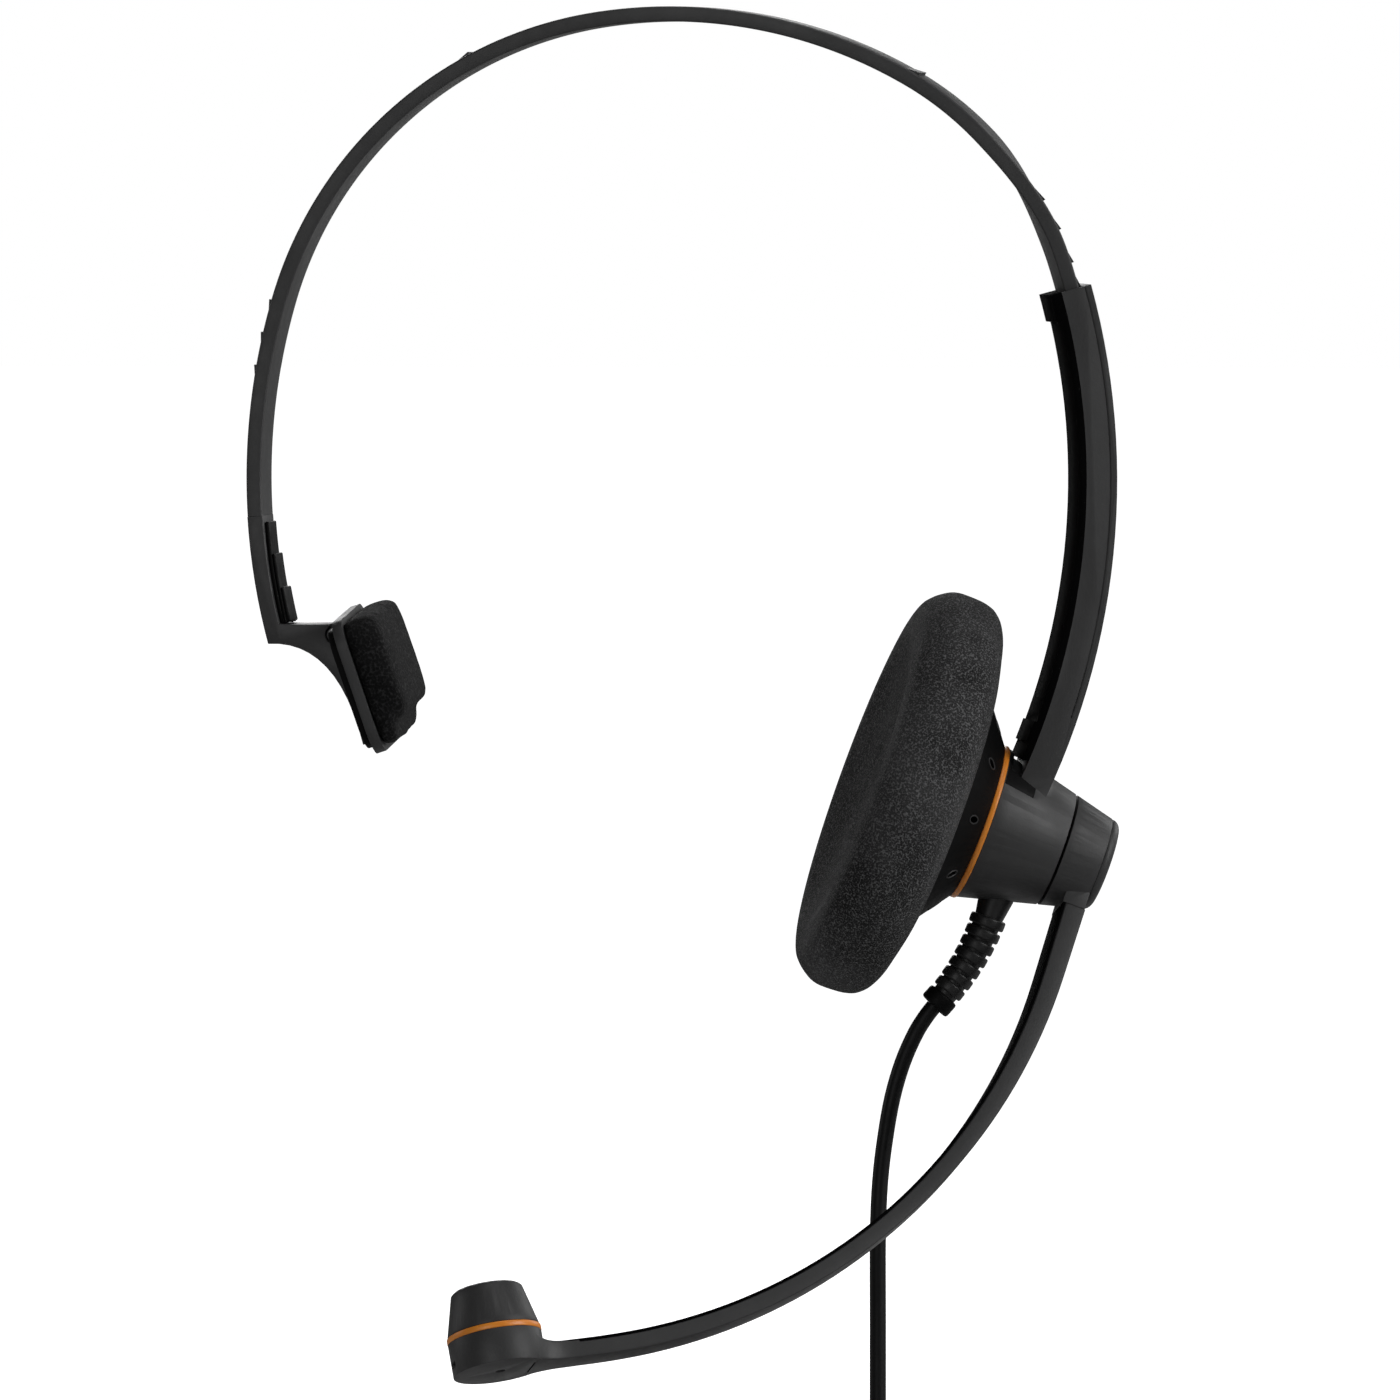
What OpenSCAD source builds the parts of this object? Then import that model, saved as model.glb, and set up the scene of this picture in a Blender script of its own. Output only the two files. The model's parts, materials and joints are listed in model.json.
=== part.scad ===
// Single-ear office headset: a thin headband with a temple support on one end, and on the other
// a sliding ear arm that carries the ear cup, the turning boom microphone and the cable.
// The origin is the crown seat, the middle of the band's inner face. +X points from the temple
// pad to the ear cup, the wearer faces -Y, and +Z is up.

/* [Headband] */
// Depth of the band from front to back
band_w = 11; // [9:0.5:12]
// Thickness of the band
band_t = 2.1; // [1.8:0.1:2.3]
// Height of the detent ridges on the outer face
ridge_h = 0.45; // [0.3:0.05:0.5]
// Width of the spring strip moulded into the band
core_w = 6; // [4:0.5:7]

/* [Ear arm] */
// Thickness of the ear arm
arm_t = 5.2; // [5.1:0.1:6]
// Depth of the ear arm from front to back
arm_w = 13.5; // [13.2:0.1:15]
// Turn of the arm's plane about the vertical, towards the back of the head
arm_yaw = 12; // [8:1:16]

/* [Ear cup] */
// Tilt of the cup's axis below the horizontal
cup_tilt = 20; // [16:1:24]
// Radius of the drum beside the accent ring
drum_r = 11; // [10.5:0.1:11.5]
// Length of the drum and the hub together
drum_len = 18.8; // [18.3:0.1:19.3]
// Outside radius of the foam cushion
cushion_r = 28.5; // [27:0.5:30]

/* [Boom microphone] */
// Forward turn of the boom at rest, from straight down
boom_rest = 20; // [10:1:40]
// Width of the boom where it leaves the hub
boom_w_root = 7; // [6:0.1:7.4]
// Width of the boom at the microphone
boom_w_tip = 5.3; // [4.8:0.1:6]
// Radius of the microphone's base
mic_r = 6.4; // [6:0.1:7]

/* [Temple pad] */
// Length of the temple pad's plate from front to back
plate_len = 30; // [26:1:34]
// Height of the plate
plate_h = 19; // [17:0.2:20]
// Turn of the plate in its own plane
plate_roll = 4; // [0:1:6]

/* [Cable] */
// Diameter of the cable
cable_d = 2.3; // [2:0.1:2.6]
// Mean radius of the turns in the tied coil
coil_r = 13; // [12:0.5:14]
// Radius of the bundle of turns
bundle_r = 6.4; // [6:0.1:6.8]

/* [Hidden] */
$fn = 72;

black = [0.07, 0.07, 0.075];
charcoal = [0.2, 0.2, 0.21];
orange = [0.88, 0.42, 0.08];
eps = 0.01;

// ---- Band path -------------------------------------------------------------------------------
// The band is a chain of tangent arcs. turn is the angle of its run below the horizontal, from
// the temple leg (negative) over the crown (0) to the tongue inside the ear arm (positive).
LEG_R = 86.4;
LEFT_SHOULDER_R = 54.2;
CROWN_R = 65.5;
RIGHT_SHOULDER_R = 44.8;
ARM_R = 98;
LEG_TURN = -73.5;
LEFT_TURN = -9;
RIGHT_TURN = 30;
TONGUE_TURN = 72.5;
BAND_START = -93.5;
BAND_END = 93;
TWIST_START = 46;
TWIST_END = 69;

RIDGE_TURNS = [-80.5, -77.6, -74.6, -29, 30, 60, 65.7, 71.3, 74, 76.5, 79, 81.5, 84, 86.5];
RIDGE_HALF = 1.2;

function run_radius(t) =
    t < LEG_TURN ? LEG_R :
    t < LEFT_TURN ? LEFT_SHOULDER_R :
    t < RIGHT_TURN ? CROWN_R :
    t < TONGUE_TURN ? RIGHT_SHOULDER_R : ARM_R;

// The band's plane turns smoothly into the arm's plane between TWIST_START and TWIST_END.
function ease(x) = x <= 0 ? 0 : x >= 1 ? 1 : x * x * (3 - 2 * x);
function plane_yaw(t) = arm_yaw * ease((t - TWIST_START) / (TWIST_END - TWIST_START));

function run_dir(t) = [cos(t) * cos(plane_yaw(t)), cos(t) * sin(plane_yaw(t)), -sin(t)];
function run_out(t) = [sin(t) * cos(plane_yaw(t)), sin(t) * sin(plane_yaw(t)), cos(t)];
function run_side(t) = [-sin(plane_yaw(t)), cos(plane_yaw(t)), 0];

band_turns = concat(
    [for (t = [BAND_START : 2.5 : -86]) t],
    [for (t = [-84.5 : 0.5 : LEG_TURN]) t],
    [for (t = [-70 : 4 : -34]) t], [-30.5, -30, -29.5, -29, -28.5, -28, -27.5, -24, -19, -14],
    [for (t = [LEFT_TURN : 3 : 27]) t], [28.8, 29.2, 29.6, 30, 30.5, 31, 31.6],
    [for (t = [34 : 2 : 58]) t],
    [for (t = [58.5 : 0.5 : 72.5]) t],
    [for (t = [73 : 0.5 : 88]) t], [90, BAND_END]);

// Each step follows the chord of its arc, so that points on a plane arc are exact.
function run_step(a, b) = let (m = (a + b) / 2) 2 * run_radius(m) * sin((b - a) / 2) * run_dir(m);
function walk(turns) =
    [for (i = 0, p = [0, 0, 0]; i < len(turns);
        p = p + (i + 1 < len(turns) ? run_step(turns[i], turns[i + 1]) : [0, 0, 0]), i = i + 1) p];
band_walk = walk(band_turns);
crown_point = lookup_vector(0, band_turns, band_walk);
band_points = [for (p = band_walk) p - crown_point + [0, 0, band_t / 2]];

function lookup_vector(t, turns, points) =
    [for (k = [0 : 2]) lookup(t, [for (i = [0 : len(turns) - 1]) [turns[i], points[i][k]]])];
function ridge(t) = ridge_h * max([for (r = RIDGE_TURNS)
    max(0, 1 - pow((t - r) * PI / 180 * run_radius(t) / RIDGE_HALF, 2))]);

leg_start = band_points[0];
leg_centre = leg_start - LEG_R * run_out(BAND_START);
tongue_start = lookup_vector(TONGUE_TURN, band_turns, band_points);
arm_centre = tongue_start - ARM_R * run_out(TONGUE_TURN);

// ---- Ear arm and cup -------------------------------------------------------------------------
// In the arm's frame the origin is the centre of the arm's arc, X lies in the arm's plane and
// angles are counted up from the horizontal.
MOUTH_ANGLE = 15.4;
ROOT_ANGLE = -25.5;
CHANNEL_END = -16;
COVER_END = -23.4;
SEAM_END = -19;
ARM_WALL = 0.8;
COVER_T = 1;
TONGUE_GAP = 0.3;
RING_CENTRE = [82, 0, -46.6];
RING_T = 0.8;
PANEL_HALF = 55;
SEAM = 11.6;
HUB_START = 12;
AXLE_R = 2;
AXLE_GAP = 0.05;
cone_slope = (drum_r - 6.2) / drum_len;
function drum_radius(s) = drum_r - cone_slope * s;

BOOT_S = 6.2;
BOOT_BEND_R = 34;
BOOT_STRAIGHT = 12;
BOOT_BEND = 20.5;
COLLAR_BEND = 3.6;

// ---- Boom ------------------------------------------------------------------------------------
// In the boom's frame X is the distance from the cup's axis and Z runs along it, away from the head.
BOOM_S = 16;
BOOM_STRAIGHT = 18.2;
BOOM_R1 = 80.8;
BOOM_BEND1 = 59.7;
BOOM_R2 = 114.5;
BOOM_BEND2 = 62.8;
BOOM_TAIL = 11.6;
BOOM_T_ROOT = 3.4;
BOOM_T_TIP = 2.6;
BOOM_ROOT = 8;
boom_a1 = BOOM_R1 * BOOM_BEND1 * PI / 180;
boom_a2 = BOOM_R2 * (BOOM_BEND2 - BOOM_BEND1) * PI / 180;
boom_len = BOOM_STRAIGHT + boom_a1 + boom_a2 + BOOM_TAIL;
knee1 = [BOOM_STRAIGHT, BOOM_S];
knee2 = knee1 + BOOM_R1 * [sin(BOOM_BEND1), cos(BOOM_BEND1) - 1];
knee3 = knee2 + BOOM_R2 * [sin(BOOM_BEND2) - sin(BOOM_BEND1), cos(BOOM_BEND2) - cos(BOOM_BEND1)];
function boom_bend(l) = let (a = l - BOOM_STRAIGHT)
    a < 0 ? 0 :
    a < boom_a1 ? a / BOOM_R1 * 180 / PI :
    a < boom_a1 + boom_a2 ? BOOM_BEND1 + (a - boom_a1) / BOOM_R2 * 180 / PI : BOOM_BEND2;
function boom_point(l) = let (a = l - BOOM_STRAIGHT, b = boom_bend(l))
    a < 0 ? [l, BOOM_S] :
    a < boom_a1 ? knee1 + BOOM_R1 * [sin(b), cos(b) - 1] :
    a < boom_a1 + boom_a2 ? knee2 + BOOM_R2 * [sin(b) - sin(BOOM_BEND1), cos(b) - cos(BOOM_BEND1)] :
    knee3 + (a - boom_a1 - boom_a2) * [cos(BOOM_BEND2), -sin(BOOM_BEND2)];
function boom_t(l) = BOOM_T_ROOT + (BOOM_T_TIP - BOOM_T_ROOT) * min(1, l / 60);
function boom_w(l) = boom_w_root + (boom_w_tip - boom_w_root) * min(1, l / 60);
boom_end = boom_len - mic_r + 2;
boom_stations = concat([BOOM_ROOT, 13], [for (l = [BOOM_STRAIGHT : 3.2 : BOOM_STRAIGHT + boom_a1 + boom_a2]) l],
    [boom_end - 4, boom_end]);
LINER_T = 0.8;
WIRE_R = 0.4;
mic_point = boom_point(boom_len);
MIC_BASE_H = 4.6;
MIC_RING_T = 0.8;
MIC_TOP_R = 4.9;
MIC_H = 11.6;

// ---- Temple support --------------------------------------------------------------------------
LEG_END = -104.6;
PIN_POS = [-46.1, 0, -83.9];
PIN_R = 0.5;
KNUCKLE_R = 1;
KNUCKLE_HALF = 3.5;
FOOT_TOP = [-51.7, -82.6];
FOOT_ANGLE = -103.6;
PLATE_TILT = 18.5;
PLATE_TOP = 2.4;
PLATE_T = 1.4;
BACKING_T = 1;
PAD_T = 4.8;

// ---- Cable -----------------------------------------------------------------------------------
// The route of the hanging stretch, from the boot's collar to the coil, and the plug's lead.
CABLE_ROUTE = [[36.1, -2.53, -134.55], [35, -2.75, -136], [33.6, -2.95, -138.3],
    [31.9, -3.1, -142.2], [30.5, -3.2, -147], [29.5, -3.2, -152.6], [28.8, -3.2, -158.6],
    [28.5, -3.2, -166], [28.5, -3.2, -178], [28.5, -3.2, -192], [28.5, -3.2, -207], [28.5, -3.2, -219]];
TAIL_ROUTE = [[28.5, -5.5, -219], [28.5, -5.5, -225], [28.5, -5.5, -231], [28.5, -5.5, -237.5],
    [28.5, -5.5, -244]];
COIL_CENTRE = [9.8, -4.35, -219];
PLUG_TOP = [28.5, -5.5, -244];

// ---- Shared shapes ---------------------------------------------------------------------------
// A closed tube through frames of [position, side, out] with one outline per frame. A hollow
// outline lists the convex pieces its end faces are made of.
module sweep(frames, outlines, pieces = []) {
    n = len(outlines[0]);
    caps = len(pieces) > 0 ? pieces : [[for (j = [0 : n - 1]) j]];
    m = len(frames);
    points = [for (i = [0 : m - 1]) each [for (q = outlines[i])
        frames[i][0] + q[0] * frames[i][1] + q[1] * frames[i][2]]];
    sides = [for (i = [0 : m - 2], j = [0 : n - 1]) each [
        [i * n + j, i * n + (j + 1) % n, (i + 1) * n + j],
        [i * n + (j + 1) % n, (i + 1) * n + (j + 1) % n, (i + 1) * n + j]]];
    start_cap = [for (c = caps) [for (k = [len(c) - 1 : -1 : 0]) c[k]]];
    end_cap = [for (c = caps) [for (j = c) (m - 1) * n + j]];
    polyhedron(points, concat(sides, start_cap, end_cap), convexity = 4);
}

// Rectangle with cut corners, from out_lo to out_hi, starting at the lower right corner.
function bar_outline(w, lo, hi, c) = [[w / 2 - c, lo], [w / 2, lo + c], [w / 2, hi - c], [w / 2 - c, hi],
    [-w / 2 + c, hi], [-w / 2, hi - c], [-w / 2, lo + c], [-w / 2 + c, lo]];

module in_arm_frame() {
    translate(arm_centre) rotate([0, 0, arm_yaw]) children();
}

module in_cup_frame() {
    in_arm_frame() translate(RING_CENTRE) rotate([0, 90 + cup_tilt, 0]) children();
}

module in_boom_frame() {
    in_cup_frame() rotate([0, 0, -boom_rest]) children();
}

module in_mic_frame() {
    in_boom_frame() translate([mic_point[0], 0, mic_point[1]]) rotate([0, BOOM_BEND2, 0]) children();
}

module in_pad_frame() {
    translate(PIN_POS) rotate([0, -PLATE_TILT, 0]) children();
}

// A stretch of an arc in the arm's frame, between two radii and two heights across the plane.
module arm_arc(r_in, r_out, half_w, from, to) {
    rotate([90, 0, 0]) rotate([0, 0, from])
        rotate_extrude(angle = to - from, $fn = 180)
            translate([r_in, -half_w]) square([r_out - r_in, 2 * half_w]);
}

module ring_solid(r_in, r_out, s0, s1) {
    rotate_extrude() translate([r_in, s0]) square([r_out - r_in, s1 - s0]);
}

// ---- Headband and temple support -------------------------------------------------------------
function band_frames() = [for (i = [0 : len(band_turns) - 1])
    [band_points[i], run_side(band_turns[i]), run_out(band_turns[i])]];

module headband() {
    color(charcoal)
        sweep(band_frames(),
            [for (t = band_turns) bar_outline(band_w, -band_t / 2, band_t / 2 + ridge(t), 0.35)]);
}

module headband_core() {
    frames = band_frames();
    picks = [for (i = [0 : 2 : len(frames) - 1]) if (band_turns[i] < TWIST_END) i];
    color("silver")
        sweep([for (i = picks) frames[i]], [for (i = picks) bar_outline(core_w, -0.25, 0.25, 0.1)]);
}

// Quadratic curve between two points, bent towards a third.
function curve(a, b, c, n) = [for (i = [0 : n]) let (u = i / n)
    (1 - u) * (1 - u) * a + 2 * u * (1 - u) * b + u * u * c];

module leg_arc(r_in, r_out, half_w, from, to) {
    translate(leg_centre) rotate([90, 0, 0]) rotate([0, 0, 90 - from])
        rotate_extrude(angle = from - to, $fn = 180)
            translate([r_in, -half_w]) square([r_out - r_in, 2 * half_w]);
}

function leg_xz(r, t) = [leg_centre[0] + r * sin(t), leg_centre[2] + r * cos(t)];

function pad_xz(x, z) = [PIN_POS[0] + x * cos(PLATE_TILT) - z * sin(PLATE_TILT),
    PIN_POS[2] + x * sin(PLATE_TILT) + z * cos(PLATE_TILT)];

// The leg and its foot are one outline. The foot is a wing that runs down behind the pad's plate.
module temple_arm() {
    inner = LEG_R - band_t / 2;
    outer = LEG_R + band_t / 2;
    foot = leg_xz(outer, LEG_END - 0.5);
    wing_tip = pad_xz(-1.1, -15.6);
    outline = concat([for (t = [BAND_START : -1.5 : LEG_END]) leg_xz(outer, t)],
        curve(foot, [-45.8, -84.6], wing_tip, 12),
        [pad_xz(-0.45, -15.3), pad_xz(-0.45, 1.6), FOOT_TOP],
        [for (t = [FOOT_ANGLE : 1.5 : BAND_START - 1]) leg_xz(inner, t)], [leg_xz(inner, BAND_START)]);
    color(charcoal) difference() {
        union() {
            translate([0, band_w / 2, 0]) rotate([90, 0, 0]) linear_extrude(band_w) polygon(outline);
            in_pad_frame() rotate([90, 0, 0]) cylinder(r = KNUCKLE_R, h = 2 * KNUCKLE_HALF, center = true);
        }
        in_pad_frame() {
            rotate([90, 0, 0]) cylinder(r = PIN_R, h = 3 * KNUCKLE_HALF, center = true);
            for (side = [-1, 1]) translate([0, side * (KNUCKLE_HALF + 1.5), 0])
                rotate([90, 0, 0]) cylinder(r = KNUCKLE_R + 0.3, h = 3, center = true);
        }
    }
}

module temple_clip() {
    top = BAND_START - 0.6;
    inner = LEG_R - band_t / 2;
    color(black) {
        leg_arc(inner - 0.6, inner, 3.8, top, FOOT_ANGLE);
        leg_arc(inner - 1.05, inner - 0.6, 3.8, top - 3, FOOT_ANGLE);
        leg_arc(inner - 1.5, inner - 1.05, 3.8, top - 6.2, FOOT_ANGLE);
    }
}

// A rounded sheet in the plate's plane, from x to x + t, its outline drawn in by inset and its
// lower edge raised by lift.
module plate_sheet(x, t, inset, corner, lift = 0) {
    translate([x, 0, 0]) rotate([plate_roll, 0, 0]) translate([0, 0, PLATE_TOP - plate_h / 2 + lift / 2])
        rotate([0, 90, 0]) linear_extrude(t) rounded_rect(plate_h - 2 * inset - lift, plate_len - 2 * inset, corner);
}

module pad_plate() {
    lug_y = KNUCKLE_HALF + 1.5;
    color(charcoal) in_pad_frame() difference() {
        union() {
            plate_sheet(KNUCKLE_R, PLATE_T, 0, 4);
            for (side = [-1, 1]) translate([0, side * lug_y, 0]) {
                rotate([90, 0, 0]) cylinder(r = KNUCKLE_R, h = 2, center = true);
                translate([0, -1, -KNUCKLE_R]) cube([KNUCKLE_R + 0.5, 2, 2 * KNUCKLE_R]);
            }
        }
        rotate([90, 0, 0]) {
            cylinder(r = KNUCKLE_R + 0.35, h = 2 * KNUCKLE_HALF + 0.8, center = true);
            cylinder(r = PIN_R + AXLE_GAP, h = 5 * KNUCKLE_HALF, center = true);
        }
    }
}

// The black sheet behind the plate, notched around the hinge.
module pad_backing() {
    notch = KNUCKLE_HALF + 3;
    color(black) in_pad_frame() difference() {
        plate_sheet(KNUCKLE_R - BACKING_T, BACKING_T, 1, 3.4);
        translate([-2, -notch, -1.8]) cube([4, 2 * notch, 10]);
    }
}

module rounded_rect(a, b, r) {
    union() {
        square([a - 2 * r, b], center = true);
        square([a, b - 2 * r], center = true);
        for (x = [-1, 1], y = [-1, 1]) translate([x * (a / 2 - r), y * (b / 2 - r)]) circle(r);
    }
}

module pad_hinge_pin() {
    color("silver") in_pad_frame() rotate([90, 0, 0])
        cylinder(r = PIN_R, h = 2 * KNUCKLE_HALF + 5, center = true);
}

module temple_pad() {
    step = 2.6;
    edge = 0.8;
    face = KNUCKLE_R + PLATE_T;
    color(black) in_pad_frame() {
        plate_sheet(face, step, 0.5, 4.2, 0.7);
        plate_sheet(face + step, PAD_T - edge - step, 0.5, 4.2, 4.6);
        plate_sheet(face + PAD_T - edge, edge, 1.3, 3.8, 4.6);
    }
}

// ---- Ear arm and drum ------------------------------------------------------------------------
module arm_shell() {
    r_in = ARM_R - arm_t / 2;
    r_out = ARM_R + arm_t / 2;
    channel_in = r_in + COVER_T;
    color(charcoal) {
        difference() {
            union() {
                in_arm_frame() arm_arc(channel_in, r_out, arm_w / 2, ROOT_ANGLE, MOUTH_ANGLE);
                in_cup_frame() difference() {
                    rotate_extrude() polygon([[0, RING_T + 0.05], [drum_radius(RING_T), RING_T + 0.05],
                        [drum_radius(SEAM), SEAM], [0, SEAM]]);
                    drum_panel(0.05);
                }
            }
            in_arm_frame() {
                arm_arc(channel_in - 1, r_out - ARM_WALL, band_w / 2 + TONGUE_GAP, CHANNEL_END, MOUTH_ANGLE + 1);
                difference() {
                    arm_arc(r_out - 1, r_out - 0.8, arm_w, SEAM_END, MOUTH_ANGLE + 1);
                    arm_arc(r_out - 2, r_out, arm_w / 2 - 0.2, SEAM_END - 1, MOUTH_ANGLE + 2);
                }
            }
            in_cup_frame() drum_cavity();
        }
    }
}

// A panel let into the top of the drum, flush with its surface, on either side of the arm.
module drum_panel(gap) {
    depth = 0.7;
    lo = 1 - gap;
    hi = 5.4 + gap;
    half = PANEL_HALF + gap * 5;
    rotate([0, 0, 180 - half]) rotate_extrude(angle = 2 * half)
        polygon([[drum_radius(lo) - depth - gap, lo], [drum_radius(lo) + gap, lo],
            [drum_radius(hi) + gap, hi], [drum_radius(hi) - depth - gap, hi]]);
}

module drum_cavity() {
    wall = 1.4;
    end_wall = 1.8;
    boot_hole = 2.55;
    rotate_extrude() polygon([[0, RING_T - 1], [drum_radius(RING_T - 1) - wall, RING_T - 1],
        [drum_radius(SEAM - end_wall) - wall, SEAM - end_wall], [0, SEAM - end_wall]]);
    cylinder(r = AXLE_R, h = 30);
    translate([0, 0, BOOT_S]) rotate([0, 90, 0]) cylinder(r = boot_hole, h = 20);
}

module arm_inner_cover() {
    r_in = ARM_R - arm_t / 2;
    mouth_lip = 0.6;
    root_lip = 0.3;
    color(black) in_arm_frame() {
        arm_arc(r_in, r_in + COVER_T, arm_w / 2, COVER_END, MOUTH_ANGLE);
        arm_arc(r_in - mouth_lip, r_in + COVER_T / 2, arm_w / 2, MOUTH_ANGLE - 2.3, MOUTH_ANGLE);
        arm_arc(r_in - root_lip, r_in + COVER_T / 2, arm_w / 2, COVER_END + 1.4, COVER_END + 3.2);
    }
}

module root_cover() {
    color(black) difference() {
        in_cup_frame() drum_panel(0);
        in_arm_frame() arm_arc(ARM_R - arm_t / 2 - 0.7, ARM_R + arm_t / 2 + eps, arm_w / 2 + 0.05,
            ROOT_ANGLE - 5, MOUTH_ANGLE);
    }
}

module cup_accent_ring() {
    color(orange) in_cup_frame() ring_solid(9.6, drum_radius(RING_T) + 0.2, 0, RING_T);
}

// ---- Speaker ---------------------------------------------------------------------------------
module front_shell() {
    wall = 1.3;
    rim_r = 21.4;
    vents = 10;
    color(black) in_cup_frame() difference() {
        rotate_extrude() polygon([[drum_r - 1.2, 0], [drum_r, 0], [16.6, -4.2], [17.6, -5.2],
            [rim_r, -5.2], [rim_r, -7], [16.2, -7], [16.2, -5], [16.6 - wall - 0.4, -4.2], [drum_r - 1.4, -0.5]]);
        for (i = [0 : vents - 1]) rotate([0, 0, 360 / vents * (i + 0.5)])
            translate([13.4, 0, -2]) rotate([0, 53, 0]) {
                cube([1, 0.9, 6], center = true);
                for (end = [-0.5, 0.5]) translate([end, 0, 0]) cylinder(r = 0.45, h = 6, center = true);
            }
    }
}

module speaker_grille() {
    plate_r = 20.8;
    rows = [[1, 0], [6, 3.2], [12, 6.4], [18, 9.6], [24, 12.8]];
    color("dimgray") in_cup_frame() translate([0, 0, -8.1]) linear_extrude(1.1) difference() {
        circle(plate_r);
        for (row = rows, i = [0 : row[0] - 1])
            rotate(360 / row[0] * i) translate([row[1], 0]) circle(0.75, $fn = 16);
    }
}

module driver_frame() {
    color("dimgray") in_cup_frame() rotate_extrude() polygon([[14.2, -6.9], [16.1, -6.9], [16.1, -5.3],
        [14.6, -5.3], [9, -3.4], [9, -2.4], [7.1, -2.4], [7.1, -4.2], [8.4, -4.2], [14.2, -6.1]]);
}

module driver_magnet() {
    color("silver") in_cup_frame() translate([0, 0, -4]) cylinder(r = 7.1, h = 3.6);
}

module driver_diaphragm() {
    color([0.8, 0.75, 0.6]) in_cup_frame() rotate_extrude()
        polygon([[0, -5.9], [6, -6.2], [14.1, -6.8], [14.1, -6.65], [6, -6.05], [0, -5.75]]);
}

module ear_cushion() {
    front = -17.1;
    pocket_r = 21.6;
    color(black) in_cup_frame() rotate_extrude() polygon(concat(
        [[17.9, -5.1], [17.5, -4.5], [20.3, -4.5]],
        curve([23.5, -5.4], [cushion_r - 0.8, -6.8], [cushion_r, -9.7], 5),
        curve([cushion_r, -13.6], [cushion_r - 0.6, -16.7], [23.6, front], 6),
        curve([20.6, front - 0.1], [17, front + 0.2], [13, front + 1.6], 4),
        [[0, front + 2.2], [0, -8.2], [pocket_r, -8.2], [pocket_r, -5.1]]));
}

// ---- Inside the drum -------------------------------------------------------------------------
module terminal_board() {
    color("darkgreen") in_cup_frame() translate([0, 0, 2]) intersection() {
        cylinder(r = 8.3, h = 1);
        translate([-5.5, -9, 0]) cube([11, 18, 1]);
    }
}

module pivot_axle() {
    color("silver") in_cup_frame() {
        translate([0, 0, SEAM - 3]) cylinder(r = 3.2, h = 1.2);
        translate([0, 0, SEAM - 3]) cylinder(r = AXLE_R, h = 8.2);
    }
}

module friction_washer() {
    color("gray") in_cup_frame() ring_solid(AXLE_R, 5.2, SEAM, SEAM + 0.35);
}

// ---- Cable boot ------------------------------------------------------------------------------
// The boot leaves the drum straight, then bends in one arc in the cup's middle plane.
module boot_arc(r, from, to) {
    translate([BOOT_STRAIGHT, 0, BOOT_S - BOOT_BEND_R]) rotate([90, 0, 0]) rotate([0, 0, 90 - to])
        rotate_extrude(angle = to - from) translate([BOOT_BEND_R, 0]) circle(r);
}

module cable_boot() {
    ribs = 6;
    rib_pitch = BOOT_BEND / ribs;
    color(black) in_cup_frame() {
        translate([6.2, 0, BOOT_S]) rotate([0, 90, 0]) cylinder(r = 2.5, h = BOOT_STRAIGHT - 6.2);
        boot_arc(1.85, -1, BOOT_BEND);
        for (i = [0 : ribs - 1]) boot_arc(2.5 - 0.04 * i, rib_pitch * (i + 0.3), rib_pitch * (i + 0.95));
    }
}

module boot_collar() {
    color(black) in_cup_frame() boot_arc(2.25, BOOT_BEND, BOOT_BEND + COLLAR_BEND);
}

// ---- Boom hub --------------------------------------------------------------------------------
HUB_CAVITY = 14;
CAP_START = 17.5;
WEB_FIT = AXLE_R + AXLE_GAP;

module boom_hub() {
    wall = 1.3;
    color(charcoal) in_boom_frame() difference() {
        union() {
            rotate_extrude() polygon([[0, HUB_START], [drum_radius(HUB_START), HUB_START],
                [drum_radius(CAP_START), CAP_START], [0, CAP_START]]);
            translate([0, -boom_w_root / 2, BOOM_S - BOOM_T_ROOT / 2])
                cube([BOOM_ROOT, boom_w_root, BOOM_T_ROOT / 2 + CAP_START - BOOM_S]);
        }
        rotate_extrude() polygon([[0, HUB_CAVITY], [drum_radius(HUB_CAVITY) - wall, HUB_CAVITY],
            [drum_radius(CAP_START) - wall, CAP_START + 1], [0, CAP_START + 1]]);
        cylinder(r = WEB_FIT, h = 40);
        translate([BOOM_ROOT - 3, 0, BOOM_S - 0.4]) rotate([0, 90, 0]) cylinder(r = WIRE_R + 0.1, h = 6);
    }
}

module retaining_clip() {
    color("silver") in_cup_frame() ring_solid(AXLE_R, 3.4, HUB_CAVITY + 0.1, HUB_CAVITY + 0.7);
}

module hub_end_cap() {
    chamfer = 0.5;
    color(charcoal) in_boom_frame() rotate_extrude() polygon([[0, CAP_START], [drum_radius(CAP_START), CAP_START],
        [drum_radius(drum_len - chamfer), drum_len - chamfer], [drum_radius(drum_len) - chamfer, drum_len],
        [0, drum_len]]);
}

// ---- Boom ------------------------------------------------------------------------------------
function boom_frame(l) = let (b = boom_bend(l), p = boom_point(l))
    [[p[0], 0, p[1]], [0, 1, 0], [sin(b), 0, cos(b)]];

// The boom's shell is a channel, open on its inner side, and the liner closes it.
function channel_outline(w, t) = let (g = 1.4, d = -t / 2 + LINER_T, c = 0.4)
    [[w / 2, d], [w / 2, t / 2 - c], [w / 2 - c, t / 2], [-w / 2 + c, t / 2],
    [-w / 2, t / 2 - c], [-w / 2, d], [-g / 2, d], [-g / 2, d + 1], [g / 2, d + 1], [g / 2, d]];
module boom_arm() {
    color(charcoal) in_boom_frame()
        sweep([for (l = boom_stations) boom_frame(l)],
            [for (l = boom_stations) channel_outline(boom_w(l), boom_t(l))],
            [[0, 1, 8, 9], [1, 2, 3, 4, 7, 8], [4, 5, 6, 7]]);
}

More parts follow.
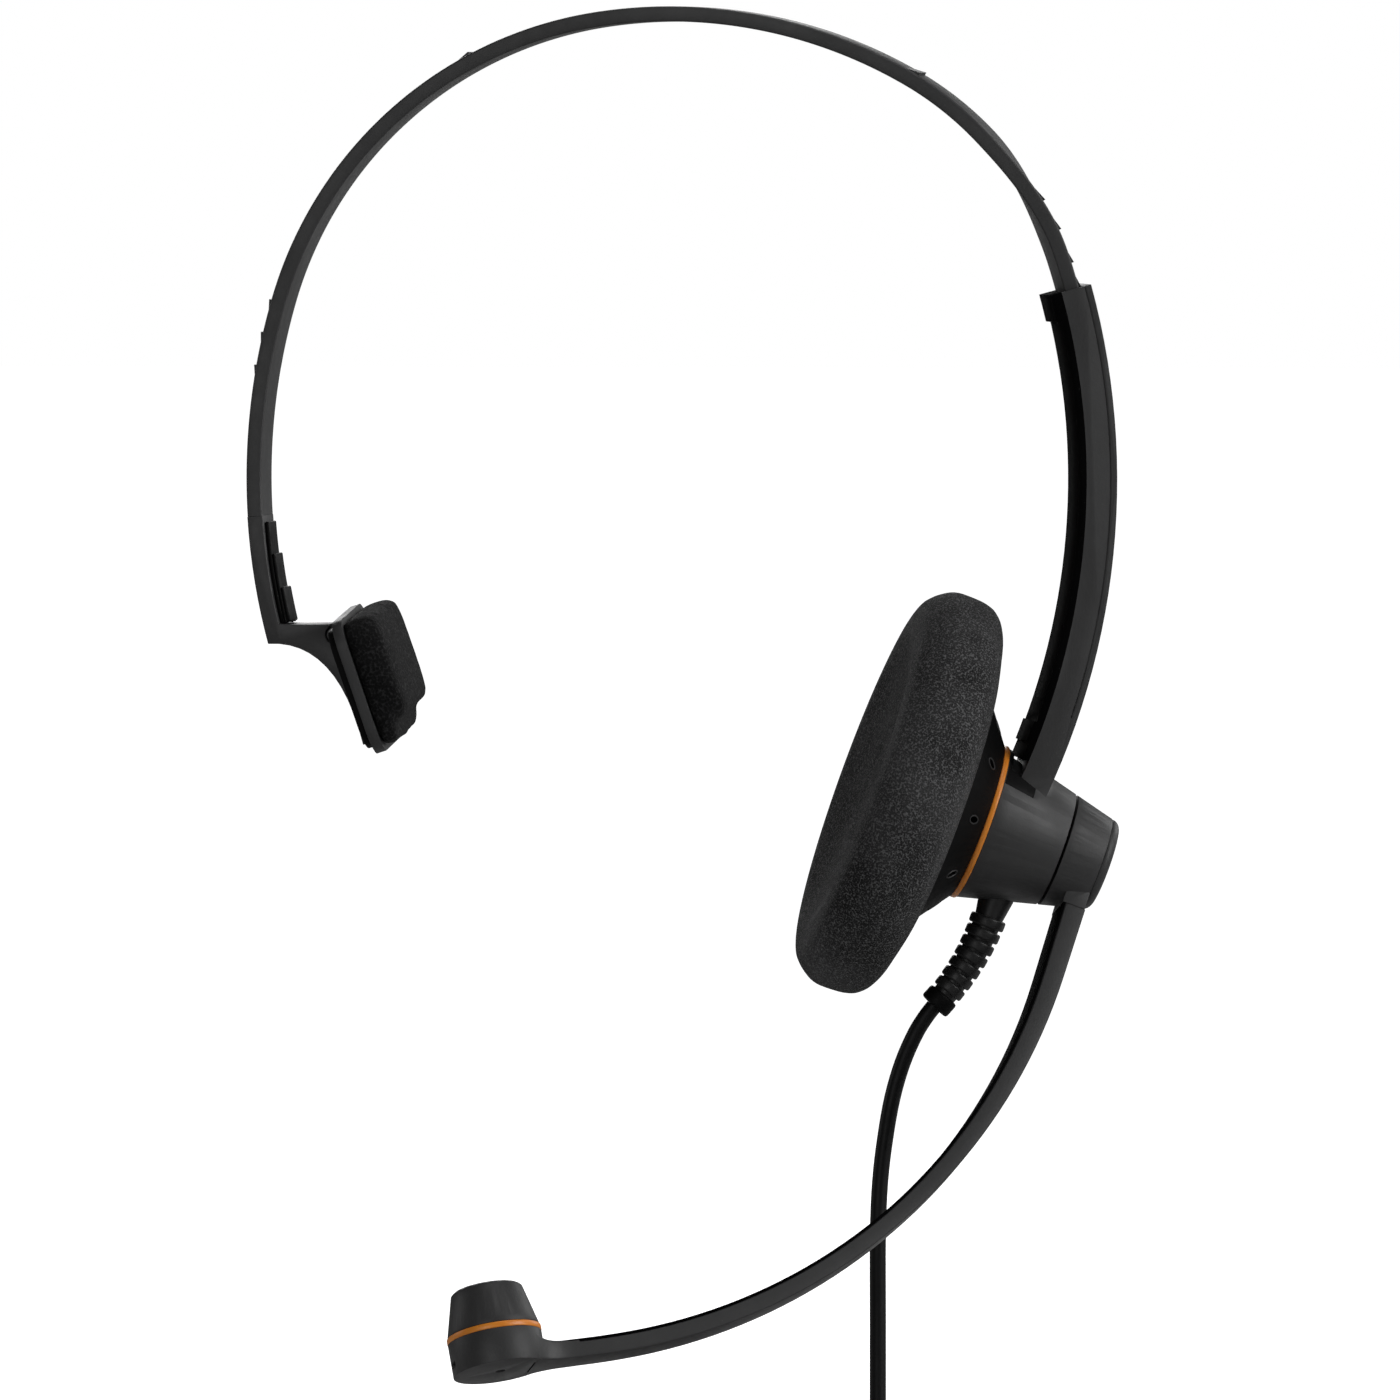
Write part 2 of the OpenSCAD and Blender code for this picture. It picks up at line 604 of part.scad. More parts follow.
module boom_liner() {
    color(black) in_boom_frame()
        sweep([for (l = boom_stations) boom_frame(l)],
            [for (l = boom_stations) bar_outline(boom_w(l), -boom_t(l) / 2, -boom_t(l) / 2 + LINER_T, 0.2)]);
}

module boom_wire() {
    sides = 8;
    color("red") in_boom_frame()
        sweep([for (l = boom_stations) boom_frame(l)],
            [for (l = boom_stations) let (d = -boom_t(l) / 2 + LINER_T + 0.5)
                [for (k = [0 : sides - 1]) [WIRE_R * sin(360 / sides * k), d + WIRE_R * cos(360 / sides * k)]]]);
}

// ---- Microphone ------------------------------------------------------------------------------
// In the microphone's frame the outer face looks along +Z and the cap stands towards -Z.
module mic_base() {
    face = BOOM_T_TIP / 2;
    port = 0.7;
    color(charcoal) in_mic_frame() difference() {
        translate([0, 0, face - MIC_BASE_H]) cylinder(r = mic_r, h = MIC_BASE_H);
        translate([0, 0, face - MIC_BASE_H - 1]) cylinder(r = mic_r - 1.2, h = MIC_BASE_H - 0.2);
        cylinder(r = port, h = 10);
        translate([mic_r - 0.7, -1.2, face - 1.9]) cube([2, 2.4, 0.8]);
        translate([-mic_r - 1, -boom_w_tip / 2, -face - eps]) cube([3.2, boom_w_tip, BOOM_T_TIP + 2 * eps]);
    }
}

module mic_accent_ring() {
    top = BOOM_T_TIP / 2 - MIC_BASE_H;
    color(orange) in_mic_frame() ring_solid(mic_r - 1.6, mic_r + 0.05, top - MIC_RING_T, top);
}

module mic_housing() {
    start = BOOM_T_TIP / 2 - MIC_BASE_H - MIC_RING_T;
    end = BOOM_T_TIP / 2 - MIC_H;
    wall = 1.1;
    color(charcoal) in_mic_frame() rotate_extrude() polygon([[mic_r - 0.05, start], [MIC_TOP_R, end + 0.5],
        [MIC_TOP_R - 0.5, end], [0, end], [0, end + wall], [MIC_TOP_R - wall, end + wall], [mic_r - wall, start]]);
}

module mic_capsule() {
    color("silver") in_mic_frame() translate([0, 0, -3.6]) cylinder(r = 3, h = 2.4);
}

module mic_gasket() {
    color("dimgray") in_mic_frame() ring_solid(3, 5.2, -3.2, -1.6);
}

// ---- Cable -----------------------------------------------------------------------------------
// Round tube along a smooth curve through the route's points, with its rings in parallel frames.
function spline(p, i, u) =
    let (a = p[max(i - 1, 0)], b = p[i], c = p[i + 1], d = p[min(i + 2, len(p) - 1)])
    0.5 * (2 * b + (c - a) * u + (2 * a - 5 * b + 4 * c - d) * u * u + (3 * b - a - 3 * c + d) * u * u * u);
function unit(v) = v / norm(v);
function smooth_route(p, n) = concat([for (i = [0 : len(p) - 2], k = [0 : n - 1]) spline(p, i, k / n)],
    [p[len(p) - 1]]);

module cable_tube(route, steps) {
    q = smooth_route(route, steps);
    m = len(q);
    sides = 8;
    outline = [for (k = [0 : sides - 1]) cable_d / 2 * [sin(360 / sides * k), cos(360 / sides * k)]];
    frames = [for (i = [0 : m - 1])
        let (d = unit(q[min(i + 1, m - 1)] - q[max(i - 1, 0)]), s = unit(cross(d, [0, 1, 0])))
        [q[i], s, cross(s, d)]];
    sweep(frames, [for (i = [0 : m - 1]) outline]);
}

module cable() {
    color(black) cable_tube(CABLE_ROUTE, 3);
}

module cable_tail() {
    color(black) cable_tube(TAIL_ROUTE, 2);
}

module cable_coil() {
    color(black) translate(COIL_CENTRE) rotate([90, 0, 0])
        rotate_extrude() translate([coil_r, 0]) circle(bundle_r);
}

module coil_tie() {
    half = 11;
    color("dimgray") translate(COIL_CENTRE) rotate([90, 0, 0]) rotate([0, 0, 90 - half])
        rotate_extrude(angle = 2 * half) translate([coil_r, 0]) difference() {
            circle(bundle_r + 0.9);
            circle(bundle_r);
        }
}

module plug_body() {
    grip_h = 20;
    relief_h = 8;
    color(black) translate(PLUG_TOP) {
        translate([0, 0, -relief_h]) cylinder(r1 = 2.6, r2 = 1.9, h = relief_h);
        translate([0, 0, -relief_h - grip_h]) linear_extrude(grip_h) rounded_rect(15.6, 8, 2.5);
    }
}

module plug_shell() {
    color("silver") translate(PLUG_TOP + [0, 0, -40.6]) linear_extrude(12.6) difference() {
        square([12, 4.5], center = true);
        square([11.4, 3.9], center = true);
    }
}

module plug_tongue() {
    color("white") translate(PLUG_TOP + [-5.6, 0.05, -40]) cube([11.2, 1.8, 12]);
}

headband();
headband_core();
temple_arm();
temple_clip();
pad_plate();
pad_hinge_pin();
pad_backing();
temple_pad();
arm_shell();
arm_inner_cover();
root_cover();
cup_accent_ring();
front_shell();
speaker_grille();
driver_frame();
driver_magnet();
driver_diaphragm();
ear_cushion();
terminal_board();
pivot_axle();
friction_washer();
cable_boot();
boot_collar();
boom_hub();
retaining_clip();
hub_end_cap();
boom_arm();
boom_liner();
boom_wire();
mic_base();
mic_accent_ring();
mic_housing();
mic_capsule();
mic_gasket();
cable();
cable_coil();
coil_tie();
cable_tail();
plug_body();
plug_shell();
plug_tongue();
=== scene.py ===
"""Single-ear office headset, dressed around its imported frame.

The frame gives every mechanical piece and its place. This script adds what is soft, fine or
finished: foam, eased mouldings, ribs, detents, the wound cable, and a material for each piece.
All lengths are in metres.
"""

import json
import logging
import math
from dataclasses import dataclass, field
from enum import Enum
from functools import cache
from typing import Callable, Sequence

import bmesh
import bpy
from mathutils import Matrix, Vector


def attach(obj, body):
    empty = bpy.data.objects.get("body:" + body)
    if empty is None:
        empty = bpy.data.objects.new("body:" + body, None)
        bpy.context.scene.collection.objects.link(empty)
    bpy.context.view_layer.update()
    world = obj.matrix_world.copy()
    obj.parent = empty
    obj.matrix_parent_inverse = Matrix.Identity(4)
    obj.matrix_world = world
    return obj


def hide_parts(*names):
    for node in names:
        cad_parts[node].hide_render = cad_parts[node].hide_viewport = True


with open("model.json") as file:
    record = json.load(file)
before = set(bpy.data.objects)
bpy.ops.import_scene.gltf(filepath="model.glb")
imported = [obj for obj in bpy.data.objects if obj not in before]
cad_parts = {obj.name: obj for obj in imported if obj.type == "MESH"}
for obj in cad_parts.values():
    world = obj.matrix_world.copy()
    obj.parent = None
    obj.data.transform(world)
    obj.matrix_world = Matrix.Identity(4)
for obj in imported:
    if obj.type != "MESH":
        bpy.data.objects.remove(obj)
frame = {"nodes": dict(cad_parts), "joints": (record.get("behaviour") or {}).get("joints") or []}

LOG = logging.getLogger("headset")
MM = 0.001
SIDE = Vector((0, 1, 0))
UP = Vector((0, 0, 1))
WHITE = (1, 1, 1, 1)
Colour = tuple[float, float, float]
Outline = Sequence[tuple[float, float]]
Node = bpy.types.Node
Socket = bpy.types.NodeSocket
Tree = bpy.types.NodeTree
Material = bpy.types.Material
Piece = bpy.types.Object


class Body(Enum):
    """The moving bodies of the headset, by their names in the frame."""

    BAND = "headband"
    REST = "temple_rest"
    CUP = "ear_cup"
    BOOM = "boom"


class Slot(Enum):
    """The material slots of the record that pieces take their finish from."""

    CHARCOAL = "charcoal_plastic"
    BLACK = "black_plastic"
    ORANGE = "orange_plastic"
    FOAM = "black_foam"
    RUBBER = "soft_rubber"
    CABLE = "cable_jacket"
    WIRE = "wire_jacket"
    STEEL = "spring_steel"
    PLATED = "magnet_metal"
    FILM = "diaphragm_film"
    BOARD = "board"
    WHITE = "white_plastic"


# ---- Node trees ------------------------------------------------------------------------------


class NodeSketch:
    """A node tree that is written step by step."""

    def __init__(self, tree: Tree) -> None:
        """Takes the tree to write in."""
        self.tree = tree

    def feed(self, socket: Socket, value: object) -> None:
        """Joins an input to another socket, or gives it a value."""
        if isinstance(value, Socket):
            self.tree.links.new(value, socket)
        else:
            socket.default_value = value

    def add(self, kind: str, inputs: dict[object, object] | None = None, **settings: object) -> Node:
        """Adds a node.

        Args:
            kind: The node's type.
            inputs: What each input is set to or joined to, by name or number.
            **settings: Attributes to set on the node.

        Returns:
            The node.
        """
        node = self.tree.nodes.new(kind)
        for name, value in settings.items():
            setattr(node, name, value)
        for name, value in (inputs or {}).items():
            self.feed(node.inputs[name], value)
        return node

    def maths(self, operation: str, a: object, b: object = 0.0) -> Socket:
        """Returns the result of an operation, such as MULTIPLY, on two values or sockets."""
        return self.add("ShaderNodeMath", {0: a, 1: b}, operation=operation).outputs[0]

    def noise(self, place: Socket, scale: float, detail: float, roughness: float = 0.5) -> Socket:
        """Returns the height of a noise texture."""
        settings = {"Vector": place, "Scale": scale, "Detail": detail, "Roughness": roughness}
        return self.add("ShaderNodeTexNoise", settings).outputs["Fac"]

    def ranged(self, value: Socket, low: float, high: float,
               to_low: float = 0.0, to_high: float = 1.0) -> Socket:
        """Maps a value from one range to another, held at its ends.

        Args:
            value: The value to map.
            low: Start of the range it comes from.
            high: End of the range it comes from.
            to_low: Start of the range it goes to.
            to_high: End of the range it goes to.

        Returns:
            The mapped value.
        """
        ends = {"Value": value, "From Min": low, "From Max": high, "To Min": to_low, "To Max": to_high}
        return self.add("ShaderNodeMapRange", ends, clamp=True).outputs["Result"]

    def mixed(self, mask: Socket, first: object, second: Colour) -> Socket:
        """Mixes two colours by a mask.

        Args:
            mask: 0 gives the first colour and 1 the second.
            first: A colour or a socket.
            second: A colour.

        Returns:
            The mixed colour.
        """
        node = self.add("ShaderNodeMix", {"Factor": mask}, data_type="RGBA")
        a, b = (next(s for s in node.inputs if s.name == n and s.type == "RGBA") for n in "AB")
        self.feed(a, first if isinstance(first, Socket) else (*first, 1.0))
        self.feed(b, (*second, 1.0))
        return next(s for s in node.outputs if s.type == "RGBA")

    def bumped(self, height: Socket, distance: float) -> Socket:
        """Returns the normal of a bumped surface."""
        settings = {"Height": height, "Distance": distance, "Strength": 1.0}
        return self.add("ShaderNodeBump", settings).outputs["Normal"]

    def camera_ray(self) -> Socket:
        """Returns 1 where the camera looks straight at a place, and 0 for reflected light."""
        return self.add("ShaderNodeLightPath").outputs["Is Camera Ray"]

    def group(self, maker: Callable[[], Tree], place: Socket, size: float) -> dict[str, Socket]:
        """Places a shared node group.

        Args:
            maker: The function that builds the group.
            place: The coordinates that it reads.
            size: The size of one of its features.

        Returns:
            What it puts out, by name.
        """
        node = self.add("ShaderNodeGroup", node_tree=maker())
        self.feed(node.inputs["Position"], place)
        self.feed(node.inputs["Size"], size)
        return {socket.name: socket for socket in node.outputs}


def start_group(name: str, size: float, outputs: Sequence[str]) -> tuple[NodeSketch, Socket]:
    """Starts a shader node group that reads a position and the size of one feature.

    Args:
        name: The group's name.
        size: The size that it has unless a material gives another.
        outputs: The names of the values that it puts out.

    Returns:
        The group, and the position divided by the size, so that one feature is about one unit.
    """
    tree = bpy.data.node_groups.new(name, "ShaderNodeTree")
    tree.interface.new_socket(name="Position", in_out="INPUT", socket_type="NodeSocketVector")
    tree.interface.new_socket(name="Size", in_out="INPUT", socket_type="NodeSocketFloat").default_value = size
    for label in outputs:
        tree.interface.new_socket(name=label, in_out="OUTPUT", socket_type="NodeSocketFloat")
    group = NodeSketch(tree)
    source = group.add("NodeGroupInput").outputs
    scale = group.maths("DIVIDE", 1.0, source["Size"])
    place = group.add("ShaderNodeVectorMath", {0: source["Position"], "Scale": scale}, operation="SCALE")
    return group, place.outputs[0]


@cache
def moulded_grain() -> Tree:
    """Builds the fine spark-eroded grain of moulded plastic: a height and a gloss variation."""
    group, place = start_group("moulded_grain", 0.4 * MM, ("Height", "Gloss"))
    fine, coarse = group.noise(place, 1.0, 3.0, 0.6), group.noise(place, 0.13, 2.0)
    height = group.maths("ADD", fine, group.maths("MULTIPLY", coarse, 0.6))
    group.add("NodeGroupOutput", {"Height": height, "Gloss": group.ranged(coarse, 0.35, 0.65)})
    return group.tree


@cache
def handling_marks() -> Tree:
    """Builds the cloudy marks that skin and cloth leave: a mask of rubbed places and a mask of dust."""
    group, place = start_group("handling_marks", 12 * MM, ("Rubbed", "Dust"))
    cloud, speck = group.noise(place, 1.0, 5.0, 0.62), group.noise(place, 34.0, 2.0, 0.7)
    rubbed, dust = group.ranged(cloud, 0.42, 0.7), group.ranged(speck, 0.7, 0.78)
    group.add("NodeGroupOutput", {"Rubbed": rubbed, "Dust": dust})
    return group.tree


@cache
def open_cells() -> Tree:
    """Builds open-cell foam: pores for the height, and a mask of the strands between them, where the colour
    gets a painted highlight against painted shade in the pores.
    """
    group, place = start_group("open_cells", 0.7 * MM, ("Height", "Lit strands"))
    nodes = [group.add("ShaderNodeTexVoronoi", {"Vector": place, "Scale": scale}, feature="F1")
             for scale in (1.0, 2.3)]
    large, small = (node.outputs["Distance"] for node in nodes)
    pores = group.maths("ADD", large, group.maths("MULTIPLY", small, 0.45))
    clouded = group.maths("ADD", pores, group.maths("MULTIPLY", group.noise(place, 0.5, 3.0), 0.35))
    # The strand mask marks where the foam's colour gets its painted highlight; the pores get painted shade.
    group.add("NodeGroupOutput", {"Height": pores, "Lit strands": group.ranged(clouded, 0.93, 1.22)})
    return group.tree


# ---- Finishes --------------------------------------------------------------------------------


@dataclass(frozen=True)
class Finish:
    """A node material.

    Attributes:
        name: The material's name.
    """

    name: str

    def inputs(self, sketch: NodeSketch, place: Socket) -> dict[str, object]:
        """Returns what each input of the Principled shader is set or joined to.

        Args:
            sketch: The material's tree.
            place: The Object coordinates.

        Returns:
            The values and sockets, by the names of the inputs.
        """
        raise NotImplementedError

    def build(self) -> Material:
        """Builds the material and returns it."""
        material = bpy.data.materials.new(self.name)
        material.use_nodes = True
        sketch = NodeSketch(material.node_tree)
        shader = material.node_tree.nodes["Principled BSDF"]
        place = sketch.add("ShaderNodeTexCoord").outputs["Object"]
        for name, value in self.inputs(sketch, place).items():
            sketch.feed(shader.inputs[name], value)
        return material


@dataclass(frozen=True)
class MouldedPlastic(Finish):
    """Moulded plastic or rubber with a fine grain, rubbed places and a little dust.

    Attributes:
        colour: Its colour.
        rubbed: Its colour where handling has polished it.
        roughness: Its roughness between the rubbed places.
        polish: How much smoother the rubbed places are.
        grain: The size of one grain.
        depth: The height of the grain.
        shine: How strongly its surface mirrors the light, 0.5 for plain plastic.
        sheen: The soft light that a rubbery skin scatters.
    """

    colour: Colour
    rubbed: Colour
    roughness: float
    polish: float = 0.1
    grain: float = 0.35 * MM
    depth: float = 0.012 * MM
    shine: float = 0.5
    sheen: float = 0.0

    def inputs(self, sketch: NodeSketch, place: Socket) -> dict[str, object]:
        """Returns what each input of the Principled shader is set or joined to."""
        grain = sketch.group(moulded_grain, place, self.grain)
        marks = sketch.group(handling_marks, place, 12 * MM)
        worn = sketch.mixed(marks["Rubbed"], self.colour, self.rubbed)
        dusty = tuple(min(1.0, 0.8 * c + 0.05) for c in self.rubbed)
        rough = sketch.maths("SUBTRACT", self.roughness, sketch.maths("MULTIPLY", marks["Rubbed"], self.polish))
        return {
            "Base Color": sketch.mixed(sketch.maths("MULTIPLY", marks["Dust"], 0.35), worn, dusty),
            "Roughness": sketch.maths("ADD", rough, sketch.maths("MULTIPLY", grain["Gloss"], 0.05)),
            "Normal": sketch.bumped(grain["Height"], self.depth),
            "Specular IOR Level": self.shine,
            "Sheen Weight": self.sheen,
            "Sheen Roughness": 0.6,
        }


@dataclass(frozen=True)
class CellFoam(Finish):
    """Soft open-cell foam.

    Attributes:
        pore_shade: The colour deep in the pores, a painted shade.
        strand_highlight: The colour of the strands between them, a painted highlight.
        cell: The size of one cell.
        depth: How deep the pores look.
        sheen: The soft light round its edges.
    """

    pore_shade: Colour
    strand_highlight: Colour
    cell: float
    depth: float
    sheen: float = 0.02

    def inputs(self, sketch: NodeSketch, place: Socket) -> dict[str, object]:
        """Returns what each input of the Principled shader is set or joined to."""
        cells = sketch.group(open_cells, place, self.cell)
        marks = sketch.group(handling_marks, place, 20 * MM)
        # Painted shade in the pores and a painted highlight on the strands, mixed by the strand mask.
        lit = sketch.mixed(cells["Lit strands"], self.pore_shade, self.strand_highlight)
        faded = tuple(min(1.0, 1.5 * c) for c in self.strand_highlight)
        return {
            "Base Color": sketch.mixed(sketch.maths("MULTIPLY", marks["Rubbed"], 0.25), lit, faded),
            "Roughness": sketch.ranged(cells["Lit strands"], 0.0, 1.0, 0.98, 0.8),
            "Normal": sketch.bumped(cells["Height"], self.depth),
            "Specular IOR Level": 0.25,
            "Sheen Weight": self.sheen,
            "Sheen Roughness": 0.8,
        }


@dataclass(frozen=True)
class PlainMetal(Finish):
    """Turned or rolled metal with faint drawing lines.

    Attributes:
        colour: Its colour.
        roughness: Its roughness.
    """

    colour: Colour
    roughness: float

    def inputs(self, sketch: NodeSketch, place: Socket) -> dict[str, object]:
        """Returns what each input of the Principled shader is set or joined to."""
        drawn = sketch.add("ShaderNodeMapping", {"Scale": (1.0, 0.05, 1.0), "Vector": place}).outputs["Vector"]
        lines = sketch.group(moulded_grain, drawn, 0.2 * MM)
        marks = sketch.group(handling_marks, place, 6 * MM)
        dull = tuple(0.7 * c for c in self.colour)
        return {
            "Base Color": sketch.mixed(marks["Rubbed"], self.colour, dull),
            "Roughness": sketch.ranged(lines["Gloss"], 0.0, 1.0, self.roughness, self.roughness + 0.12),
            "Normal": sketch.bumped(lines["Height"], 0.004 * MM),
            "Metallic": 1.0,
        }


@dataclass(frozen=True)
class PaleFloor(Finish):
    """A pale floor that fades into the white surround where the camera sees it."""

    def inputs(self, sketch: NodeSketch, place: Socket) -> dict[str, object]:
        """Returns what each input of the Principled shader is set or joined to."""
        away = sketch.add("ShaderNodeVectorMath", {0: place}, operation="LENGTH").outputs["Value"]
        glow = sketch.ranged(away, 0.6, 1.6, 0.82, 1.05)
        return {
            "Base Color": sketch.mixed(sketch.noise(place, 3.0, 2.0), (0.5,) * 3, (0.54,) * 3),
            "Roughness": 0.9,
            "Emission Color": WHITE,
            "Emission Strength": sketch.maths("MULTIPLY", sketch.camera_ray(), glow),
        }


class Wardrobe:
    """Every finish on the headset, built once and kept by slot."""

    DEEP_BLACK = ((0.0014, 0.0014, 0.0015), (0.0024, 0.0024, 0.0025))
    FINISHES = {
        Slot.CHARCOAL: MouldedPlastic("charcoal_moulding", (0.021, 0.021, 0.0215), (0.028, 0.028, 0.0285),
                                      0.52, 0.08),
        Slot.BLACK: MouldedPlastic("black_moulding", *DEEP_BLACK, 0.56, 0.08, shine=0.1),
        Slot.ORANGE: MouldedPlastic("orange_accent", (0.72, 0.22, 0.016), (0.82, 0.3, 0.03), 0.36, 0.06),
        # The foam's dark pore colour is painted shade and its lighter strand colour a painted highlight.
        Slot.FOAM: CellFoam("ear_foam", (0.0008, 0.0008, 0.0009), (0.105, 0.105, 0.107), 0.25 * MM, 0.16 * MM),
        Slot.RUBBER: MouldedPlastic("strain_relief_rubber", (0.004, 0.004, 0.0042), (0.008, 0.008, 0.0083),
                                    0.45, shine=0.4, sheen=0.03),
        Slot.CABLE: MouldedPlastic("cable_sleeve", (0.002, 0.002, 0.0022), (0.004, 0.004, 0.0043), 0.46,
                                   grain=0.2 * MM, depth=0.006 * MM, shine=0.2),
        Slot.WIRE: MouldedPlastic("lead_insulation", (0.45, 0.02, 0.02), (0.5, 0.04, 0.03), 0.45),
        Slot.STEEL: PlainMetal("spring_steel", (0.5, 0.5, 0.49), 0.3),
        Slot.PLATED: PlainMetal("plated_shell", (0.62, 0.62, 0.61), 0.2),
        Slot.FILM: MouldedPlastic("diaphragm_film", (0.42, 0.36, 0.22), (0.5, 0.44, 0.3), 0.25),
        Slot.BOARD: MouldedPlastic("circuit_board", (0.01, 0.1, 0.035), (0.02, 0.14, 0.05), 0.35),
        Slot.WHITE: MouldedPlastic("contact_carrier", (0.6, 0.6, 0.58), (0.66, 0.66, 0.64), 0.4),
    }
    # The temple foam's dark pore colour is painted shade and its lighter strand colour a painted highlight.
    TEMPLE_FOAM = CellFoam("temple_foam", (0.0008, 0.0008, 0.0009), (0.012, 0.012, 0.0125),
                           0.4 * MM, 0.1 * MM, 0.0)
    DULL_LINING = MouldedPlastic("dull_lining", *DEEP_BLACK, 0.9, 0.04, depth=0.003 * MM, shine=0.01)

    def __init__(self) -> None:
        """Starts with nothing built."""
        self._made: dict[object, Material] = {}

    def get(self, finish: object) -> Material:
        """Returns the material of a slot or a finish, made once."""
        if finish not in self._made:
            self._made[finish] = (self.FINISHES[finish] if isinstance(finish, Slot) else finish).build()
        return self._made[finish]


# ---- Shape tools -----------------------------------------------------------------------------


def smooth_step(value: float, low: float, high: float) -> float:
    """Rises smoothly from 0 at one value to 1 at another."""
    x = min(1.0, max(0.0, (value - low) / (high - low)))
    return x * x * (3 - 2 * x)


def rounded(points: Outline, radius: float, steps: int = 3) -> list[tuple[float, float]]:
    """Rounds the corners of a closed outline.

    Args:
        points: The outline's corners in order.
        radius: The radius of each corner, less where an edge is too short for it.
        steps: How many edges each corner gets.

    Returns:
        The outline's points.
    """
    out: list[tuple[float, float]] = []
    count = len(points)
    for i in range(count):
        a, b, c = (Vector(points[(i + k) % count]) for k in (-1, 0, 1))
        to_a, to_c = (a - b), (c - b)
        angle = to_a.angle(to_c, math.pi)
        reach = min(radius / math.tan(angle / 2), 0.48 * to_a.length, 0.48 * to_c.length)
        start, end = b + to_a.normalized() * reach, b + to_c.normalized() * reach
        for k in range(steps + 1):
            u = k / steps
            out.append(tuple((1 - u) ** 2 * start + 2 * u * (1 - u) * b + u * u * end))
    return out


def bar_outline(width: float, low: float, high: float, radius: float,
                steps: int = 3) -> list[tuple[float, float]]:
    """Returns a rounded rectangle across a bar, in (side, out), anticlockwise."""
    half = width / 2
    return rounded([(half, low), (half, high), (-half, high), (-half, low)], radius, steps)


def evened(points: Outline, step: float) -> list[tuple[float, float]]:
    """Splits the edges of a closed outline so that none is longer than a step."""
    out: list[tuple[float, float]] = []
    for a, b in zip(points, [*points[1:], points[0]]):
        count = max(1, math.ceil(math.dist(a, b) / step))
        out += [(a[0] + (b[0] - a[0]) * i / count, a[1] + (b[1] - a[1]) * i / count) for i in range(count)]
    return out


def ring_at(place: Matrix, point: Vector, side: Vector, out: Vector, outline: Outline) -> list[Vector]:
    """Lays an outline across a bar.

    Args:
        place: The bar's own frame.
        point: The outline's middle.
        side: The direction of its first coordinate.
        out: The direction of its second coordinate.
        outline: The outline.

    Returns:
        Its points.
    """
    return [place @ (point + a * side + b * out) for a, b in outline]


def linked(name: str, data: bpy.types.ID) -> Piece:
    """Returns a new object at the origin that shows a mesh, a curve or a light."""
    piece = bpy.data.objects.new(name, data)
    bpy.context.scene.collection.objects.link(piece)
    return piece


def meshed(bm: bmesh.types.BMesh, name: str) -> bpy.types.Mesh:
    """Turns a bmesh into a mesh and frees it."""
    mesh = bpy.data.meshes.new(name)
    bm.to_mesh(mesh)
    bm.free()
    return mesh


def shade(mesh: bpy.types.Mesh, sharp: float | None = None) -> None:
    """Smooths a mesh's faces, and keeps edges sharp past an angle in degrees if one is given."""
    mesh.polygons.foreach_set("use_smooth", [True] * len(mesh.polygons))
    if sharp is not None:
        mesh.set_sharp_from_angle(angle=math.radians(sharp))


def lofted(name: str, rings: Sequence[Sequence[Vector]], closed: bool = False) -> Piece:
    """Makes a piece whose skin runs through rings of points.

    Args:
        name: The piece's name.
        rings: The rings, all with the same number of points.
        closed: Whether the last ring joins the first, and points that meet become one.
            Otherwise both ends get a face.

    Returns:
        The new piece, at the origin.
    """
    bm = bmesh.new()
    verts = [[bm.verts.new(p) for p in ring] for ring in rings]
    count = len(verts[0])
    for a, b in zip(verts, verts[1:] + verts[:1] if closed else verts[1:]):
        for j in range(count):
            k = (j + 1) % count
            bm.faces.new((a[j], a[k], b[k], b[j]))
    if closed:
        bmesh.ops.remove_doubles(bm, verts=bm.verts, dist=1e-7)
        bmesh.ops.dissolve_degenerate(bm, dist=1e-8, edges=bm.edges)
    else:
        bm.faces.new(list(reversed(verts[0])))
        bm.faces.new(verts[-1])
    bmesh.ops.recalc_face_normals(bm, faces=bm.faces)
    mesh = meshed(bm, name)
    shade(mesh, 32)
    return linked(name, mesh)


def evaluated(piece: Piece) -> bpy.types.Mesh:
    """Returns a new mesh of a piece as its modifiers leave it."""
    return bpy.data.meshes.new_from_object(piece.evaluated_get(bpy.context.evaluated_depsgraph_get()))


def modified(piece: Piece) -> None:
    """Applies an object's modifiers to its mesh."""
    mesh = evaluated(piece)
    piece.modifiers.clear()
    old, piece.data = piece.data, mesh
    bpy.data.meshes.remove(old)


def eased(node: str, name: str, width: float) -> Piece:
    """Copies a frame node and rounds its edges, as a mould does.

    Args:
        node: The frame node.
        name: The new piece's name.
        width: The width of the rounding.

    Returns:
        The new piece. The node still shows until the piece replaces it.
    """
    bm = bmesh.new()
    bm.from_mesh(frame["nodes"][node].data)
    bmesh.ops.remove_doubles(bm, verts=bm.verts, dist=2e-6)
    bmesh.ops.dissolve_limit(bm, angle_limit=math.radians(0.6), verts=bm.verts, edges=bm.edges)
    piece = linked(name, meshed(bm, name))
    bevel = piece.modifiers.new("ease", "BEVEL")
    bevel.width = width
    bevel.segments = 2
    bevel.limit_method = "ANGLE"
    bevel.angle_limit = math.radians(33)
    bevel.use_clamp_overlap = True
    modified(piece)
    shade(piece.data, 38)
    return piece


def cup_frame() -> Matrix:
    """Returns the cup's frame: Z along its axis away from the head, X down."""
    turn = next(j for j in frame["joints"] if j["name"] == "boom_turn")
    out = -Vector(turn["axis"]).normalized()
    side = Vector((-out.y, out.x, 0)).normalized()
    axes = Matrix((side.cross(out), side, out)).transposed().to_4x4()
    return Matrix.Translation(Vector(turn["pos_m"])) @ axes


